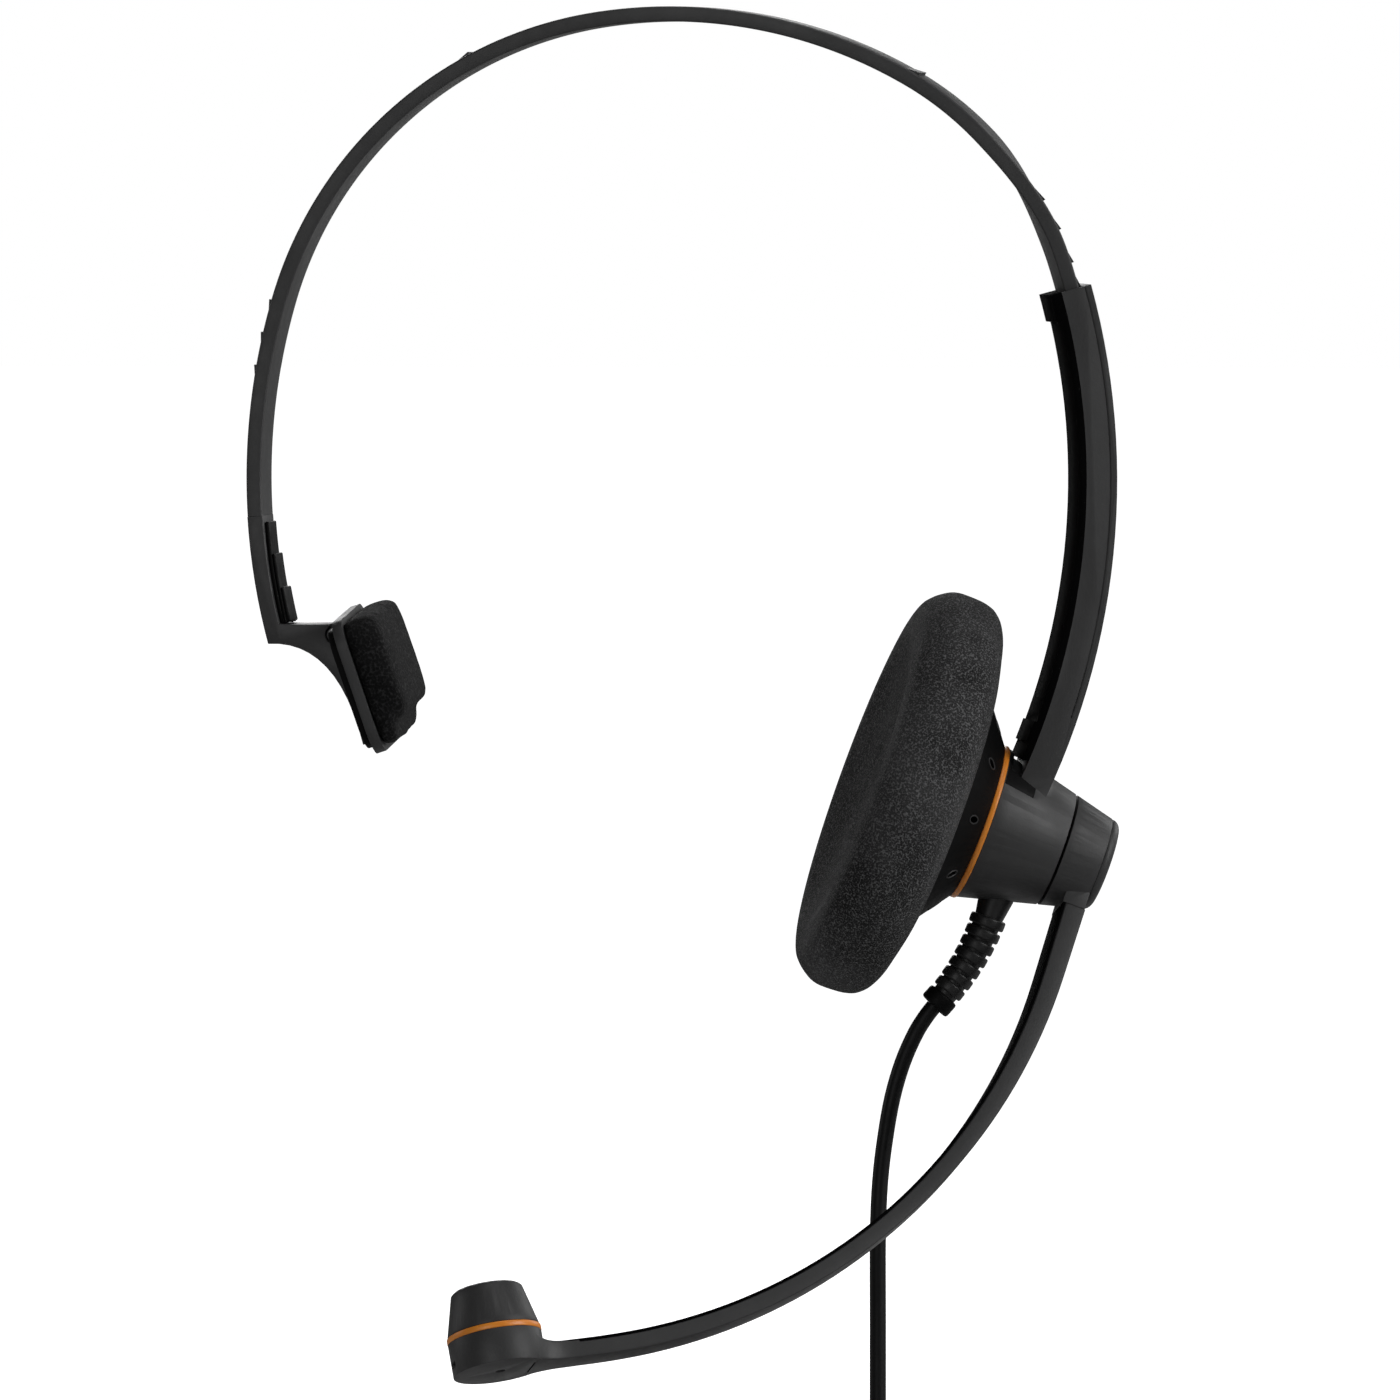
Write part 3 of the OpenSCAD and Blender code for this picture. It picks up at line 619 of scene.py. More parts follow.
class ShapeSketch(NodeSketch):
    """A geometry node tree with named sizes, which repeats a shape at points."""

    def __init__(self, name: str, sizes: dict[str, float]) -> None:
        """Starts the tree.

        Args:
            name: The name of the tree and of the piece that it makes.
            sizes: Its sizes, by name, with their values.
        """
        super().__init__(bpy.data.node_groups.new(name, "GeometryNodeTree"))
        self.name, self.sizes = name, sizes
        sockets = self.tree.interface
        sockets.new_socket(name="Geometry", in_out="INPUT", socket_type="NodeSocketGeometry")
        for label in sizes:
            sockets.new_socket(name=label, in_out="INPUT", socket_type="NodeSocketFloat")
        sockets.new_socket(name="Geometry", in_out="OUTPUT", socket_type="NodeSocketGeometry")
        self.source = self.add("NodeGroupInput").outputs

    def vector(self, **parts: object) -> Socket:
        """Returns a vector from its parts."""
        return self.add("ShaderNodeCombineXYZ", parts).outputs[0]

    def carried(self, name: str) -> Socket:
        """Returns a vector that the points carry by that name."""
        return self.add("GeometryNodeInputNamedAttribute", {"Name": name}, data_type="FLOAT_VECTOR").outputs[0]

    def repeat(self, shape: Socket, material: Material, scale: object = (1, 1, 1)) -> None:
        """Ends the tree with the shape at each point, X along the carried run and Z along the carried out.

        Args:
            shape: The shape.
            material: Its material.
            scale: Its scale.
        """
        kind = "FunctionNodeAlignRotationToVector"
        upright = self.add(kind, {"Vector": self.carried("out")}, axis="Z").outputs[0]
        both = {"Rotation": upright, "Vector": self.carried("run")}
        turn = self.add(kind, both, axis="X", pivot_axis="Z").outputs[0]
        places = {"Points": self.source["Geometry"], "Instance": shape, "Rotation": turn, "Scale": scale}
        row = self.add("GeometryNodeInstanceOnPoints", places).outputs[0]
        real = self.add("GeometryNodeRealizeInstances", {"Geometry": row}).outputs[0]
        painted = self.add("GeometryNodeSetMaterial", {"Geometry": real, "Material": material}).outputs[0]
        self.add("NodeGroupOutput", {"Geometry": painted})

    def build(self, points: Sequence[Vector], vectors: dict[str, Sequence[Vector]]) -> Piece:
        """Runs the tree and returns its result as a plain mesh piece.

        Args:
            points: The points that it starts from.
            vectors: The vectors that the points carry, by name.

        Returns:
            The piece, without a modifier.
        """
        mesh = bpy.data.meshes.new(self.name + "_points")
        mesh.from_pydata([tuple(p) for p in points], [], [])
        for label, values in vectors.items():
            store = mesh.attributes.new(label, "FLOAT_VECTOR", "POINT")
            store.data.foreach_set("vector", [c for v in values for c in v])
        seed = linked(mesh.name, mesh)
        maker = seed.modifiers.new("maker", "NODES")
        maker.node_group = self.tree
        for item in self.tree.interface.items_tree:
            if item.in_out == "INPUT" and item.name in self.sizes:
                maker[item.identifier] = self.sizes[item.name]
        result = evaluated(seed)
        result.name = self.name
        shade(result, 35)
        bpy.data.objects.remove(seed)
        return linked(self.name, result)


# ---- Sub-assemblies --------------------------------------------------------------------------


@dataclass
class SubAssembly:
    """A part of the headset that rides on one body.

    Attributes:
        wardrobe: The finishes.
        body: The body that its pieces ride on.
        made: The names of the pieces that it has added.
    """

    wardrobe: Wardrobe
    body: Body
    made: list[str] = field(default_factory=list)

    def put(self, piece: Piece, slot: Slot, *nodes: str, finish: object = None) -> Piece:
        """Dresses a piece and fixes it to the body.

        Args:
            piece: The piece.
            slot: The slot that its finish belongs to.
            *nodes: The frame nodes that it stands for.
            finish: Its finish, where it isn't the slot's own.

        Returns:
            The piece.
        """
        piece.data.materials.clear()
        piece.data.materials.append(self.wardrobe.get(finish or slot))
        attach(piece, self.body.value)
        if nodes:
            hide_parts(*nodes)
        self.made.append(piece.name)
        return piece

    def paint(self, nodes: dict[str, Slot]) -> None:
        """Gives frame nodes that keep their shape a finish."""
        for node, slot in nodes.items():
            mesh = frame["nodes"][node].data
            mesh.materials.clear()
            mesh.materials.append(self.wardrobe.get(slot))

    def ease_all(self, jobs: dict[str, tuple[str, Slot, float]]) -> None:
        """Replaces frame nodes with eased copies.

        Args:
            jobs: For each node, the new piece's name, its slot and the width of the rounding in mm.
        """
        for node, (name, slot, width) in jobs.items():
            self.put(eased(node, name, width * MM), slot, node)


@dataclass
class Headband(SubAssembly):
    """The thin sprung band, its detents, and the leg with its foot.

    Attributes:
        depth: The band's width.
        thick: Its thickness.
        yaw: How far its right end turns about the vertical.
        turns: Where each of its arcs starts and the last one ends, in degrees from the crown.
        radii: The radius of each arc in mm.
        twist: Where the turn about the vertical starts and ends, in degrees from the crown.
        detents: Where the ridges are, in degrees from the crown.
    """

    depth: float = 11 * MM
    thick: float = 2.1 * MM
    yaw: float = math.radians(12)
    turns: tuple[float, ...] = (-93.5, -73.5, -9.0, 30.0, 72.5, 93.0)
    radii: tuple[float, ...] = (86.4, 54.2, 65.5, 44.8, 98.0)
    twist: tuple[float, float] = (46.0, 69.0)
    detents: tuple[float, ...] = (
        -80.5, -77.6, -74.6, -29.0, 30.0, 60.0, 65.7, 71.3, 74.0, 76.5, 79.0, 81.5, 84.0, 86.5)

    def radius(self, turn: float) -> float:
        """Returns the band's radius where it has turned that many degrees from the crown."""
        for limit, radius in zip(self.turns[1:], self.radii):
            if turn < limit:
                return radius * MM
        return self.radii[-1] * MM

    def directions(self, turn: float) -> tuple[Vector, Vector, Vector]:
        """Returns the band's run, side and outward directions at a turn."""
        a, b = math.radians(turn), self.yaw * smooth_step(turn, *self.twist)
        run = Vector((math.cos(a) * math.cos(b), math.cos(a) * math.sin(b), -math.sin(a)))
        out = Vector((math.sin(a) * math.cos(b), math.sin(a) * math.sin(b), math.cos(a)))
        return run, Vector((-math.sin(b), math.cos(b), 0)), out

    def walk(self, step: float = 0.5) -> dict[float, Vector]:
        """Walks the band's middle line from the leg to the end of the tongue.

        Args:
            step: The turn between two points, in degrees.

        Returns:
            The point at each turn.
        """
        count = round((self.turns[-1] - self.turns[0]) / step)
        stops = [self.turns[0] + i * step for i in range(count + 1)]
        points = [Vector()]
        for a, b in zip(stops, stops[1:]):
            middle = (a + b) / 2
            length = 2 * self.radius(middle) * math.sin(math.radians(b - a) / 2)
            points.append(points[-1] + length * self.directions(middle)[0])
        crown = points[round(-self.turns[0] / step)]
        return {t: p - crown + Vector((0, 0, self.thick / 2)) for t, p in zip(stops, points)}

    def build(self) -> None:
        """Builds the band, its detents and the eased leg."""
        line = self.walk()
        outline = bar_outline(self.depth, -self.thick / 2, self.thick / 2, 0.45 * MM)
        rings = [ring_at(Matrix(), point, *self.directions(turn)[1:], outline) for turn, point in line.items()]
        self.put(lofted("band_strap", rings), Slot.CHARCOAL, "headband")
        self.put(self.detent_row(line), Slot.CHARCOAL)
        self.ease_all({
            "temple_arm": ("temple_leg", Slot.CHARCOAL, 0.35),
            "temple_clip": ("leg_clip", Slot.BLACK, 0.2),
        })
        self.paint({"headband_core": Slot.STEEL, "pad_hinge_pin": Slot.STEEL})

    def detent_row(self, line: dict[float, Vector]) -> Piece:
        """Makes the low ridges on the band's outer face with a node tree, each a wedge that leans back."""
        lean, sunk = 0.22, 0.13 * MM
        sizes = {"Length": 2.0 * MM, "Depth": self.depth - 2.4 * MM, "Height": 0.55 * MM}
        sketch = ShapeSketch("detent_ridges", sizes)
        length = sketch.source["Length"]
        box = sketch.vector(X=length, Y=sketch.source["Depth"], Z=sketch.source["Height"])
        cuts = {"Vertices X": 3, "Vertices Y": 2, "Vertices Z": 2}
        block = sketch.add("GeometryNodeMeshCube", {"Size": box, **cuts})
        spot = sketch.add("GeometryNodeInputPosition").outputs[0]
        along = sketch.add("ShaderNodeSeparateXYZ", {"Vector": spot}).outputs["X"]
        back = sketch.maths("SUBTRACT", along, sketch.maths("MULTIPLY", length, 0.5))
        shift = sketch.vector(Z=sketch.maths("MULTIPLY", back, lean))
        wedge = sketch.add("GeometryNodeSetPosition", {"Geometry": block.outputs["Mesh"], "Offset": shift})
        sketch.repeat(wedge.outputs[0], self.wardrobe.get(Slot.CHARCOAL))
        stops = [min(line, key=lambda t, d=d: abs(t - d)) for d in self.detents]
        ways = [self.directions(t) for t in stops]
        points = [line[t] + (self.thick / 2 + sunk) * out for t, (_, _, out) in zip(stops, ways)]
        return sketch.build(points, {"run": [run for run, _, _ in ways], "out": [out for _, _, out in ways]})


def puff(piece: Piece, held: Callable[[Vector], float], voxel: float, smoothing: int) -> None:
    """Swells a foam piece as cloth under pressure, then smooths it.

    Args:
        piece: The piece, a closed form.
        held: For a point, 0 where it may move freely and 1 where it is held.
        voxel: The size of the remesh, or 0 for a mesh that is even already.
        smoothing: How many times the result is smoothed.
    """
    most, frames = 0.25 * MM, 20
    if voxel:
        remesh = piece.modifiers.new("even", "REMESH")
        remesh.mode = "VOXEL"
        remesh.voxel_size = voxel
        modified(piece)
    start = [v.co.copy() for v in piece.data.vertices]
    cloth = piece.modifiers.new("swell", "CLOTH")
    cloth.settings.use_pressure = True
    cloth.settings.uniform_pressure_force = 4.0
    cloth.settings.effector_weights.gravity = 0.0
    cloth.settings.quality = 6
    cloth.settings.mass = 0.05
    cloth.settings.tension_stiffness = 20
    cloth.settings.compression_stiffness = 20
    cloth.settings.bending_stiffness = 2
    scene = bpy.context.scene
    cloth.point_cache.frame_start, cloth.point_cache.frame_end = 1, frames
    for number in range(1, frames + 1):
        scene.frame_set(number)
    graph = bpy.context.evaluated_depsgraph_get()
    swollen = [v.co.copy() for v in piece.evaluated_get(graph).data.vertices]
    piece.modifiers.clear()
    scene.frame_set(1)
    for vertex, before, after in zip(piece.data.vertices, start, swollen):
        move = after - before
        vertex.co = before + move * (min(1.0, most / max(move.length, 1e-9)) * (1.0 - held(before)))
    smooth = piece.modifiers.new("soften", "SMOOTH")
    smooth.factor, smooth.iterations = 0.5, smoothing
    finer = piece.modifiers.new("finer", "SUBSURF")
    finer.levels = finer.render_levels = 1
    modified(piece)
    shade(piece.data)


@dataclass
class TempleRest(SubAssembly):
    """The tilting bar behind the temple with its foam pad.

    Attributes:
        pin: The middle of its hinge pin.
        tilt: The lean of its plate about the pin.
        roll: The turn of the plate in its own plane.
        length: The pad's length.
        height: Its height.
        top: How far it reaches above the pin.
        face: How far its back is from the pin.
        layers: For each layer of the pad, its distance from the plate, how far its edge is drawn in
            and how far its lower edge is raised, in mm.
    """

    pin: Vector = field(default_factory=lambda: Vector((-46.1, 0, -83.9)) * MM)
    tilt: float = math.radians(-18.5)
    roll: float = math.radians(4)
    length: float = 30 * MM
    height: float = 19 * MM
    top: float = 2.4 * MM
    face: float = 2.4 * MM
    layers: tuple[tuple[float, float, float], ...] = (
        (0.02, 0.6, 0.8), (0.3, 0.5, 0.7), (2.1, 0.45, 0.7), (2.35, 0.5, 1.2), (2.5, 0.45, 3.4),
        (3.0, 0.45, 3.9),
        (4.1, 0.6, 3.9), (4.6, 1.0, 4.1), (4.85, 1.9, 4.8), (4.9, 4.0, 6.2))

    def build(self) -> None:
        """Builds the eased plate, its backing and the foam."""
        self.ease_all({
            "pad_plate": ("rest_plate", Slot.CHARCOAL, 0.3),
            "pad_backing": ("rest_backing", Slot.BLACK, 0.2),
        })
        place = (Matrix.Translation(self.pin) @ Matrix.Rotation(self.tilt, 4, "Y")
                 @ Matrix.Translation((self.face, 0, 0)) @ Matrix.Rotation(self.roll, 4, "X"))
        middle = self.top - self.height / 2
        rings = []
        for x, inset, lift in self.layers:
            half, top = self.length / 2 - inset * MM, self.height / 2 - inset * MM
            low = lift * MM - self.height / 2
            corners = rounded([(half, low), (half, top), (-half, top), (-half, low)], 3.6 * MM, 6)
            rings.append(ring_at(place, Vector((x * MM, 0, middle)), SIDE, UP, corners))
        pad = lofted("temple_foam", rings)
        back = place.to_3x3() @ Vector((1, 0, 0))

        def held(point: Vector) -> float:
            """Holds the pad where it is glued to the plate."""
            return 1.0 if (point - place.translation).dot(back) < 1.0 * MM else 0.0

        puff(pad, held, 0.8 * MM, 2)
        self.put(pad, Slot.FOAM, "temple_pad", finish=Wardrobe.TEMPLE_FOAM)


@dataclass
class CupSide(SubAssembly):
    """The ear arm, the drum, the speaker with its foam, and the cable's strain relief.

    Attributes:
        boot_at: How far the strain relief is from the cup's origin along its axis.
        boot_bend: The radius of its bend.
        boot_straight: Where the bend starts, from the axis.
        boot_turn: How far it bends.
        ribs: How many ribs it has.
        vents: How many vents the cone has.
        vent_slope: The slope of the cone's side.
        foam: The radius of the cushion.
    """

    boot_at: float = 6.2 * MM
    boot_bend: float = 34 * MM
    boot_straight: float = 12 * MM
    boot_turn: float = math.radians(20.5)
    ribs: int = 7
    vents: int = 10
    vent_slope: float = math.atan2(4.2, 5.6)
    foam: float = 28.5 * MM

    def build(self) -> None:
        """Builds the arm, the cup, the foam and the strain relief."""
        self.ease_all({
            "arm_shell": ("arm_and_drum", Slot.CHARCOAL, 0.3),
            "root_cover": ("drum_panel", Slot.BLACK, 0.08),
            "cup_accent_ring": ("cup_ring", Slot.ORANGE, 0.15),
            "front_shell": ("speaker_cone", Slot.BLACK, 0.15),
            "boot_collar": ("boot_end", Slot.BLACK, 0.35),
        })
        lining = eased("arm_inner_cover", "arm_lining", 0.45 * MM)
        self.put(lining, Slot.BLACK, "arm_inner_cover", finish=Wardrobe.DULL_LINING)
        self.paint({
            "speaker_grille": Slot.BLACK, "driver_frame": Slot.BLACK, "driver_magnet": Slot.PLATED,
            "driver_diaphragm": Slot.FILM, "terminal_board": Slot.BOARD, "pivot_axle": Slot.STEEL,
            "friction_washer": Slot.RUBBER, "retaining_clip": Slot.STEEL,
        })
        # The vent rims are lighter than the black cone: painted highlights on the vents' lips.
        self.put(self.vent_rims(), Slot.CHARCOAL)
        self.build_foam()
        self.build_boot()

    def vent_rims(self) -> Piece:
        """Makes the raised oval rims round the cone's vents with a node tree, in the lighter charcoal finish as
        painted highlights on the vents' lips.
        """
        sketch = ShapeSketch("vent_rims", {"Half width": 0.56 * MM, "Stretch": 1.9, "Lip": 0.1 * MM})
        circle = "GeometryNodeCurvePrimitiveCircle"
        loop = sketch.add(circle, {"Resolution": 20, "Radius": sketch.source["Half width"]}).outputs[0]
        oval = sketch.vector(X=sketch.source["Stretch"], Y=1.0, Z=1.0)
        longer = sketch.add("GeometryNodeTransform", {"Geometry": loop, "Scale": oval}).outputs[0]
        lip = sketch.add(circle, {"Resolution": 6, "Radius": sketch.source["Lip"]}).outputs[0]
        rim = sketch.add("GeometryNodeCurveToMesh", {"Curve": longer, "Profile Curve": lip}).outputs[0]
        # Charcoal, lighter than the black cone: a painted highlight on each vent's lip.
        sketch.repeat(rim, self.wardrobe.get(Slot.CHARCOAL))
        place = cup_frame()
        turn, cos, sin = place.to_3x3(), math.cos(self.vent_slope), math.sin(self.vent_slope)
        spots, run, out = [], [], []
        for i in range(self.vents):
            a = 2 * math.pi * (i + 0.5) / self.vents
            ray = Vector((math.cos(a), math.sin(a), 0))
            spots.append(place @ (13.6 * MM * ray - 1.94 * MM * UP))
            run.append(turn @ (cos * ray - sin * UP))
            out.append(turn @ (sin * ray + cos * UP))
        return sketch.build(spots, {"run": run, "out": out})

    def build_foam(self) -> None:
        """Builds the round foam cushion: a rolled rim, a crest and a shallow dish."""
        place, steps, r = cup_frame(), 144, self.foam / MM
        profile = evened([
            (17.8, -4.75), (18.4, -4.5), (20.5, -4.45), (23.4, -5.2), (25.6, -5.9), (27.0, -6.7),
            (r - 0.5, -7.9),
            (r - 0.1, -9.4), (r, -11.2), (r, -13.0), (r - 0.3, -14.0), (r - 1.3, -15.5), (r - 2.4, -16.6),
            (r - 3.6, -17.05), (r - 5.0, -17.1), (r - 7.6, -16.9), (r - 10.4, -16.2), (14.6, -15.5),
            (10, -15.0),
            (5, -14.9), (0, -14.9), (0, -8.5), (21.6, -8.5), (21.6, -5.08), (18, -5.08)], 1.1)
        rings = []
        for i in range(steps):
            a = 2 * math.pi * i / steps
            rings.append([place @ Vector((out * MM * math.cos(a), out * MM * math.sin(a), up * MM))
                          for out, up in profile])
        foam = lofted("ear_foam", rings, closed=True)
        back = place.inverted()

        def held(point: Vector) -> float:
            """Holds the foam where it wraps behind the speaker's rim, and at the middle of its face."""
            local = back @ point
            reach, height = local.xy.length / MM, local.z / MM
            return 1.0 if height > -9 and reach < 22 or height > -5.6 or reach < 8 else 0.0

        puff(foam, held, 0.0, 1)
        self.put(foam, Slot.FOAM, "ear_cushion")

    def build_boot(self) -> None:
        """Builds the strain relief: a tapering sleeve with rounded ribs."""
        place, parts = cup_frame(), 24
        turn = place.to_3x3()
        side = turn @ SIDE

        def at(angle: float) -> tuple[Vector, Vector]:
            """Returns the point and the direction of the boot's line at an angle of its bend."""
            x = self.boot_straight + self.boot_bend * math.sin(angle)
            z = self.boot_at - self.boot_bend + self.boot_bend * math.cos(angle)
            return place @ Vector((x, 0, z)), turn @ Vector((math.cos(angle), 0, -math.sin(angle)))

        line = [place @ Vector((x * MM, 0, self.boot_at)) for x in (6.5, 9)]
        line += [at(self.boot_turn * i / parts)[0] for i in range(parts + 1)]
        radii = [2.45 * MM] * 2 + [(1.95 - 0.25 * i / parts) * MM for i in range(parts + 1)]
        circle = [(math.cos(math.pi * k / 16), math.sin(math.pi * k / 16)) for k in range(32)]
        rings = []
        for i, (point, radius) in enumerate(zip(line, radii)):
            run = (line[min(i + 1, len(line) - 1)] - line[max(i - 1, 0)]).normalized()
            out = side.cross(run).normalized()
            rings.append(ring_at(Matrix(), point, radius * side, radius * out, circle))
        self.put(lofted("boot_sleeve", rings), Slot.RUBBER, "cable_boot")

        sizes = {"Rib radius": 1.7 * MM, "Rib wall": 1.6 * MM, "Rib length": 1.42 * MM, "Edge": 0.3 * MM}
        sketch = ShapeSketch("boot_ribs", sizes)
        size = sketch.source
        loop = sketch.add("GeometryNodeCurvePrimitiveCircle", {"Resolution": 36, "Radius": size["Rib radius"]})
        block = sketch.add("GeometryNodeCurvePrimitiveQuadrilateral",
                           {"Width": size["Rib wall"], "Height": size["Rib length"]})
        section = sketch.add("GeometryNodeFilletCurve",
                             {"Curve": block.outputs[0], "Radius": size["Edge"], "Count": 3}, mode="POLY")
        rib = sketch.add("GeometryNodeCurveToMesh",
                         {"Curve": loop.outputs[0], "Profile Curve": section.outputs[0]})
        sketch.repeat(rib.outputs[0], self.wardrobe.get(Slot.RUBBER), sketch.carried("taper"))
        spots = [at(self.boot_turn * (i + 0.3) / self.ribs) for i in range(self.ribs)]
        carried = {
            "run": [side] * self.ribs,
            "out": [direction for _, direction in spots],
            "taper": [Vector((1.0 - 0.02 * i, 1.0 - 0.02 * i, 1.0)) for i in range(self.ribs)],
        }
        self.put(sketch.build([point for point, _ in spots], carried), Slot.RUBBER)


@dataclass
class BoomSide(SubAssembly):
    """The turning hub, the curved boom and the microphone.

    Attributes:
        root: Where the boom starts, from the cup's axis.
        straight: Where its first bend starts.
        bends: The radius of each bend, and how far the boom has turned at its end.
        height: How far it is from the cup's origin along the axis.
        widths: Its width at the root and where its taper ends.
        thicks: Its thickness at those two places.
        taper: How long the taper is.
        rest: The boom's turn about the axis.
        neck: The straight stretch before the microphone's foot.
        seam: The thickness of its lining.
    """

    root: float = 8 * MM
    straight: float = 18.2 * MM
    bends: tuple[tuple[float, float], ...] = ((80.8 * MM, math.radians(59.7)), (114.5 * MM, math.radians(62.8)))
    height: float = 16 * MM
    widths: tuple[float, float] = (7 * MM, 5.3 * MM)
    thicks: tuple[float, float] = (3.4 * MM, 2.6 * MM)
    taper: float = 60 * MM
    rest: float = math.radians(-20)
    neck: float = 7.2 * MM
    seam: float = 0.35 * MM

    def place(self) -> Matrix:
        """Returns the boom's frame: X along its root and Z along the cup's axis."""
        return cup_frame() @ Matrix.Rotation(self.rest, 4, "Z")

    def line(self) -> list[tuple[float, float, float, float]]:
        """Walks the boom's middle line.

        Returns:
            For each place, its distance along the boom, its two coordinates and its bend.
        """
        out = [(x, x, self.height, 0.0) for x in (self.root, 13 * MM, self.straight)]
        length, x, z, before = out[-1]
        for radius, until in self.bends:
            steps = max(4, round((until - before) / math.radians(1.5)))
            cx, cz = x - radius * math.sin(before), z - radius * math.cos(before)
            for i in range(1, steps + 1):
                turn = (until - before) * i / steps
                bend = before + turn
                out.append((length + radius * turn, cx + radius * math.sin(bend),
                            cz + radius * math.cos(bend), bend))
            length, x, z, before = out[-1]
        for reach in (self.neck / 2, self.neck):
            out.append((length + reach, x + reach * math.cos(before), z - reach * math.sin(before), before))
        return out

    def build(self) -> None:
        """Builds the hub, the boom and the microphone."""
        self.put(self.bar("boom_shell", self.seam, None), Slot.CHARCOAL, "boom_arm")
        lining = self.bar("boom_lining", 0.0, self.seam)
        self.put(lining, Slot.BLACK, "boom_liner", finish=Wardrobe.DULL_LINING)
        self.put(self.mic_neck(), Slot.CHARCOAL)
        self.ease_all({
            "boom_hub": ("turning_hub", Slot.CHARCOAL, 0.18),
            "hub_end_cap": ("hub_cap", Slot.CHARCOAL, 0.3),
            "mic_base": ("mic_foot", Slot.CHARCOAL, 0.25),
            "mic_accent_ring": ("mic_ring", Slot.ORANGE, 0.12),
            "mic_housing": ("mic_cap", Slot.CHARCOAL, 0.55),
        })
        self.paint({"boom_wire": Slot.WIRE, "mic_capsule": Slot.PLATED, "mic_gasket": Slot.RUBBER})

    def bar(self, name: str, low: float, high: float | None) -> Piece:
        """Returns one layer of the boom.

        Args:
            name: The piece's name.
            low: The height of its inner face above the boom's inner face.
            high: The height of its outer face, or None for the boom's outer face.
        """
        rings = []
        for length, x, z, bend in self.line():
            part = min(1.0, length / self.taper)
            width, thick = (a + (b - a) * part for a, b in (self.widths, self.thicks))
            top = thick / 2 if high is None else high - thick / 2
            outline = bar_outline(width, low - thick / 2, top, 0.4 * MM if high is None else 0.12 * MM)
            out = Vector((math.sin(bend), 0, math.cos(bend)))
            rings.append(ring_at(self.place(), Vector((x, 0, z)), SIDE, out, outline))
        return lofted(name, rings)

    def mic_neck(self) -> Piece:
        """Returns the flare where the boom widens into the microphone's foot."""
        _, x, z, bend = self.line()[-1]
        along = Vector((math.cos(bend), 0, -math.sin(bend)))
        out = Vector((math.sin(bend), 0, math.cos(bend)))
        width, half = self.widths[1], self.thicks[1] / 2
        flare, drop, skin, reach, steps = 3.9 * MM, 1.5 * MM, 0.02 * MM, 6.5 * MM, 12
        rings = []
        for i in range(steps + 1):
            part = i / steps
            outline = bar_outline(width + 2 * skin + flare * part ** 3, -half - skin - drop * part ** 5,
                                  half + skin, 0.4 * MM)
            point = Vector((x, 0, z)) - reach * (1 - part) * along
            rings.append(ring_at(self.place(), point, SIDE, out, outline))
        return lofted("mic_neck", rings)


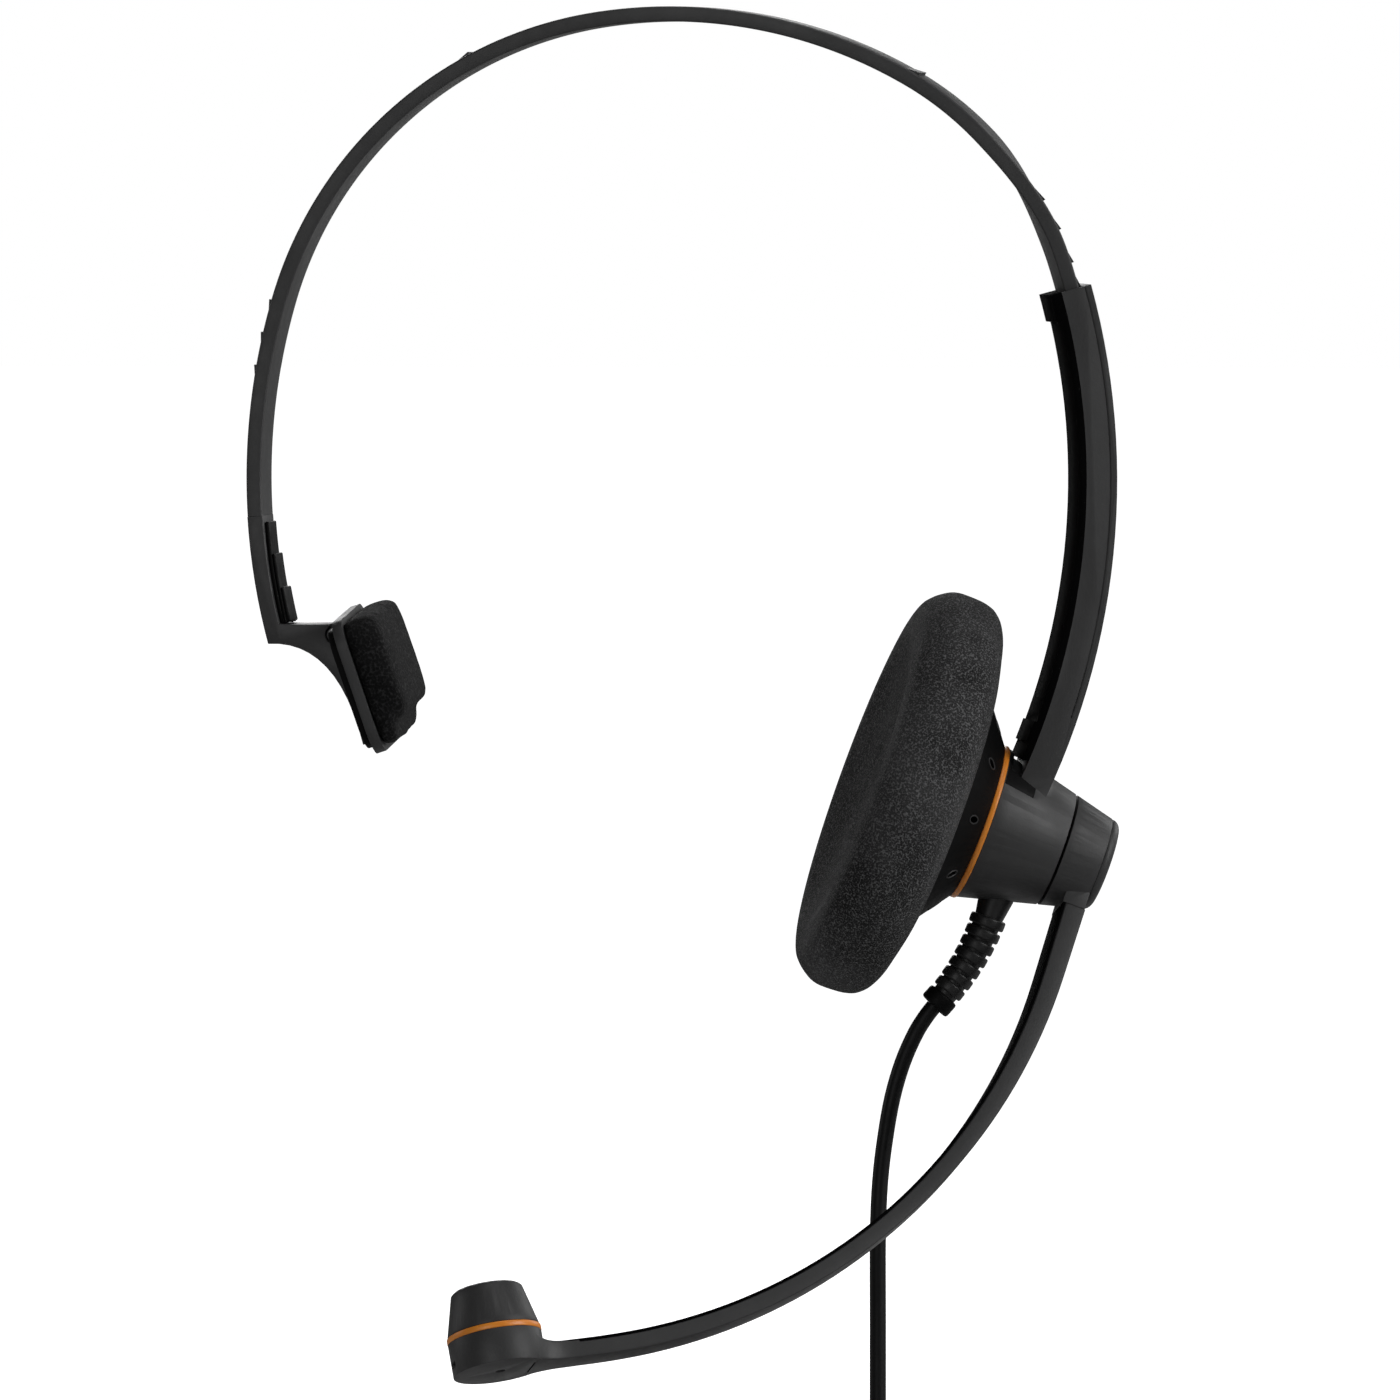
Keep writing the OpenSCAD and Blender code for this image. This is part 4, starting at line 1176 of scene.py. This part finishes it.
@dataclass
class CableRun(SubAssembly):
    """The cable from the strain relief, its tied coil and its plug.

    Attributes:
        diameter: The cable's diameter.
        length: Its length; not used.
        ring: The radius of the coil, to the middle of its bundle.
        centre: The middle of the coil.
        route: The cable's line from the strain relief to the coil, in mm.
        tail: Its line from the coil to the plug, in mm.
        lay: Where each turn lies in the bundle, in half diameters outwards and sideways.
    """

    diameter: float = 2.3 * MM
    length: float = 2.1
    ring: float = 13 * MM
    centre: Vector = field(default_factory=lambda: Vector((9.8, -4.35, -219)) * MM)
    route: tuple[tuple[float, float, float], ...] = (
        (36.1, -2.53, -134.55), (35, -2.75, -136), (33.6, -2.95, -138.3), (31.9, -3.1, -142.2),
        (30.5, -3.2, -147),
        (29.5, -3.2, -152.6), (28.8, -3.2, -158.6), (28.5, -3.2, -166), (28.5, -3.2, -178),
        (28.5, -3.2, -192),
        (28.5, -3.2, -207), (28.5, -3.2, -219))
    tail: tuple[tuple[float, float, float], ...] = (
        (28.5, -5.5, -219), (28.5, -5.5, -225), (28.5, -5.5, -231), (28.5, -5.5, -237.5), (28.5, -5.5, -244))
    lay: tuple[tuple[int, int], ...] = (
        (5, 1), (3, 3), (1, 5), (-1, 5), (-3, 3), (-1, 3), (1, 3), (3, 1), (1, 1), (-1, 1), (-3, 1), (-5, 1),
        (-5, -1), (-3, -1), (-1, -1), (1, -1), (3, -1), (1, -3), (-1, -3), (-3, -3), (-1, -5), (1, -5),
        (3, -3),
        (5, -1))

    def smooth(self, points: Sequence[tuple[float, float, float]], steps: int) -> list[Vector]:
        """Returns points along a smooth curve through a route, with that many steps to each stretch."""
        p = [Vector(q) * MM for q in points]
        out = []
        for i in range(len(p) - 1):
            a, b, c, d = p[max(i - 1, 0)], p[i], p[i + 1], p[min(i + 2, len(p) - 1)]
            for k in range(steps):
                u = k / steps
                out.append(0.5 * (2 * b + (c - a) * u + (2 * a - 5 * b + 4 * c - d) * u * u
                                  + (3 * b - a - 3 * c + d) * u ** 3))
        return out + [p[-1]]

    def wound(self, steps: int = 40) -> list[Vector]:
        """Returns the points of the turns, with each change of place at the tie."""
        out = []
        for here, there in zip(self.lay, self.lay[1:] + self.lay[-1:]):
            for k in range(steps):
                u = smooth_step(k / steps, 0.62, 0.88)
                out_by, side_by = ((a + (b - a) * u) * self.diameter / 2 for a, b in zip(here, there))
                angle = -2 * math.pi * k / steps
                radius = self.ring + out_by
                out.append(self.centre + Vector((radius * math.cos(angle), side_by, radius * math.sin(angle))))
        return out

    def build(self) -> None:
        """Builds the cable as one curve, its tie and the eased plug."""
        points = self.smooth(self.route, 4)[:-1] + self.wound() + self.smooth(self.tail, 3)
        curve = bpy.data.curves.new("cable_run", "CURVE")
        curve.dimensions = "3D"
        curve.bevel_depth = self.diameter / 2
        curve.bevel_resolution = 3
        curve.use_fill_caps = True
        spline = curve.splines.new("POLY")
        spline.points.add(len(points) - 1)
        spline.points.foreach_set("co", [c for p in points for c in (*p, 1.0)])
        spline.use_smooth = True
        cable = self.put(linked("cable_run", curve), Slot.CABLE, "cable", "cable_coil", "cable_tail")
        tie = self.tie()
        self.ease_all({
            "plug_body": ("plug_grip", Slot.BLACK, 0.6),
            "plug_shell": ("plug_shield", Slot.PLATED, 0.15),
        })
        self.paint({"plug_tongue": Slot.WHITE})

    def tie(self) -> Piece:
        """Builds the strap that holds the turns, as a folded band with a rounded edge."""
        inner, wall, half, steps = 6.95 * MM, 0.8 * MM, math.radians(17), 48
        rings = []
        for i in range(steps):
            a = 2 * math.pi * i / steps
            ring = []
            for x, y in bar_outline(2 * half, 0.0, wall, 0.25 * MM):
                angle, radius = math.pi / 2 + x, self.ring + (inner + y) * math.cos(a)
                spot = Vector((radius * math.cos(angle), (inner + y) * math.sin(a), radius * math.sin(angle)))
                ring.append(self.centre + spot)
            rings.append(ring)
        return self.put(lofted("coil_strap", rings, closed=True), Slot.RUBBER, "coil_tie")


# ---- Studio ----------------------------------------------------------------------------------


@dataclass
class Studio:
    """The camera, the pale floor and the soft lights.

    Attributes:
        target: The point that the camera and the lights face.
        azimuth: The camera's turn about the vertical.
        elevation: Its height above the target, as an angle.
        distance: Its distance from the target.
        width: The width of what it sees there.
        floor: The height of the floor.
        reach: Half the width of the floor.
        surround: The brightness of the surround in all but the camera's own view.
        lights: For each light, its place, its width and its power in watts.
    """

    target: Vector = field(default_factory=lambda: Vector((3.64, 0, -92.86)) * MM)
    azimuth: float = math.radians(6.5)
    elevation: float = math.radians(2)
    distance: float = 2.5
    width: float = 191.78 * MM
    floor: float = -0.3
    reach: float = 15.0
    surround: float = 0.055
    lights: dict[str, tuple[tuple[float, float, float], float, float]] = field(default_factory=lambda: {
        "key": ((1.7, -0.55, 0.55), 0.9, 19.0),
        "top": ((0.3, -0.3, 1.5), 1.0, 6.0),
        "front": ((-0.5, -2.4, 0.35), 0.9, 8.5),
        "rim": ((1.0, 1.1, 0.5), 0.8, 6.0),
        "left": ((-1.9, 0.2, 0.35), 1.0, 3.5),
        "back": ((-0.5, 2.3, 0.6), 1.0, 12.0),
    })

    def build(self) -> None:
        """Builds the camera, the floor, the lights and the white surround."""
        self.add_camera()
        self.add_floor()
        for name, (place, size, watts) in self.lights.items():
            data = bpy.data.lights.new(name, "AREA")
            data.size = size
            data.energy = watts
            self.aim(linked(name, data), Vector(place))
        world = bpy.data.worlds.new("studio")
        world.use_nodes = True
        sketch = NodeSketch(world.node_tree)
        back = world.node_tree.nodes["Background"]
        back.inputs["Color"].default_value = WHITE
        sketch.feed(back.inputs["Strength"], sketch.ranged(sketch.camera_ray(), 0.0, 1.0, self.surround, 1.0))
        bpy.context.scene.world = world
        bpy.context.scene.view_settings.view_transform = "Standard"

    def aim(self, piece: Piece, place: Vector) -> None:
        """Puts a camera or a light at a place, facing the target."""
        piece.location = place
        piece.rotation_euler = (self.target - place).to_track_quat("-Z", "Y").to_euler()

    def add_camera(self) -> None:
        """Adds the camera at its viewing angle."""
        a, e = self.azimuth, self.elevation
        forward = Vector((-math.sin(a) * math.cos(e), math.cos(a) * math.cos(e), -math.sin(e)))
        data = bpy.data.cameras.new("camera")
        data.sensor_width = 36.0
        data.lens = data.sensor_width * self.distance / self.width
        data.clip_start, data.clip_end = 0.1, 60.0
        camera = linked("camera", data)
        self.aim(camera, self.target - forward * self.distance)
        bpy.context.scene.camera = camera

    def add_floor(self) -> None:
        """Adds the wide pale floor."""
        mesh = bpy.data.meshes.new("floor")
        signs = ((-1, -1), (1, -1), (1, 1), (-1, 1))
        corners = [(x * self.reach, y * self.reach, self.floor) for x, y in signs]
        mesh.from_pydata(corners, [], [(0, 1, 2, 3)])
        mesh.materials.append(PaleFloor("pale_floor").build())
        floor = linked("floor", mesh)


def main() -> None:
    """Builds the headset's pieces in order."""
    logging.basicConfig(level=logging.INFO, format="%(name)s: %(message)s")
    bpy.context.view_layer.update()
    wardrobe = Wardrobe()
    Studio().build()
    parts: list[SubAssembly] = [
        CableRun(wardrobe, Body.CUP),
        Headband(wardrobe, Body.BAND),
        TempleRest(wardrobe, Body.REST),
        CupSide(wardrobe, Body.CUP),
        BoomSide(wardrobe, Body.BOOM),
    ]
    for part in parts:
        part.build()
        LOG.info("%s: %s", type(part).__name__, ", ".join(part.made))


if __name__ == "__main__":
    main()
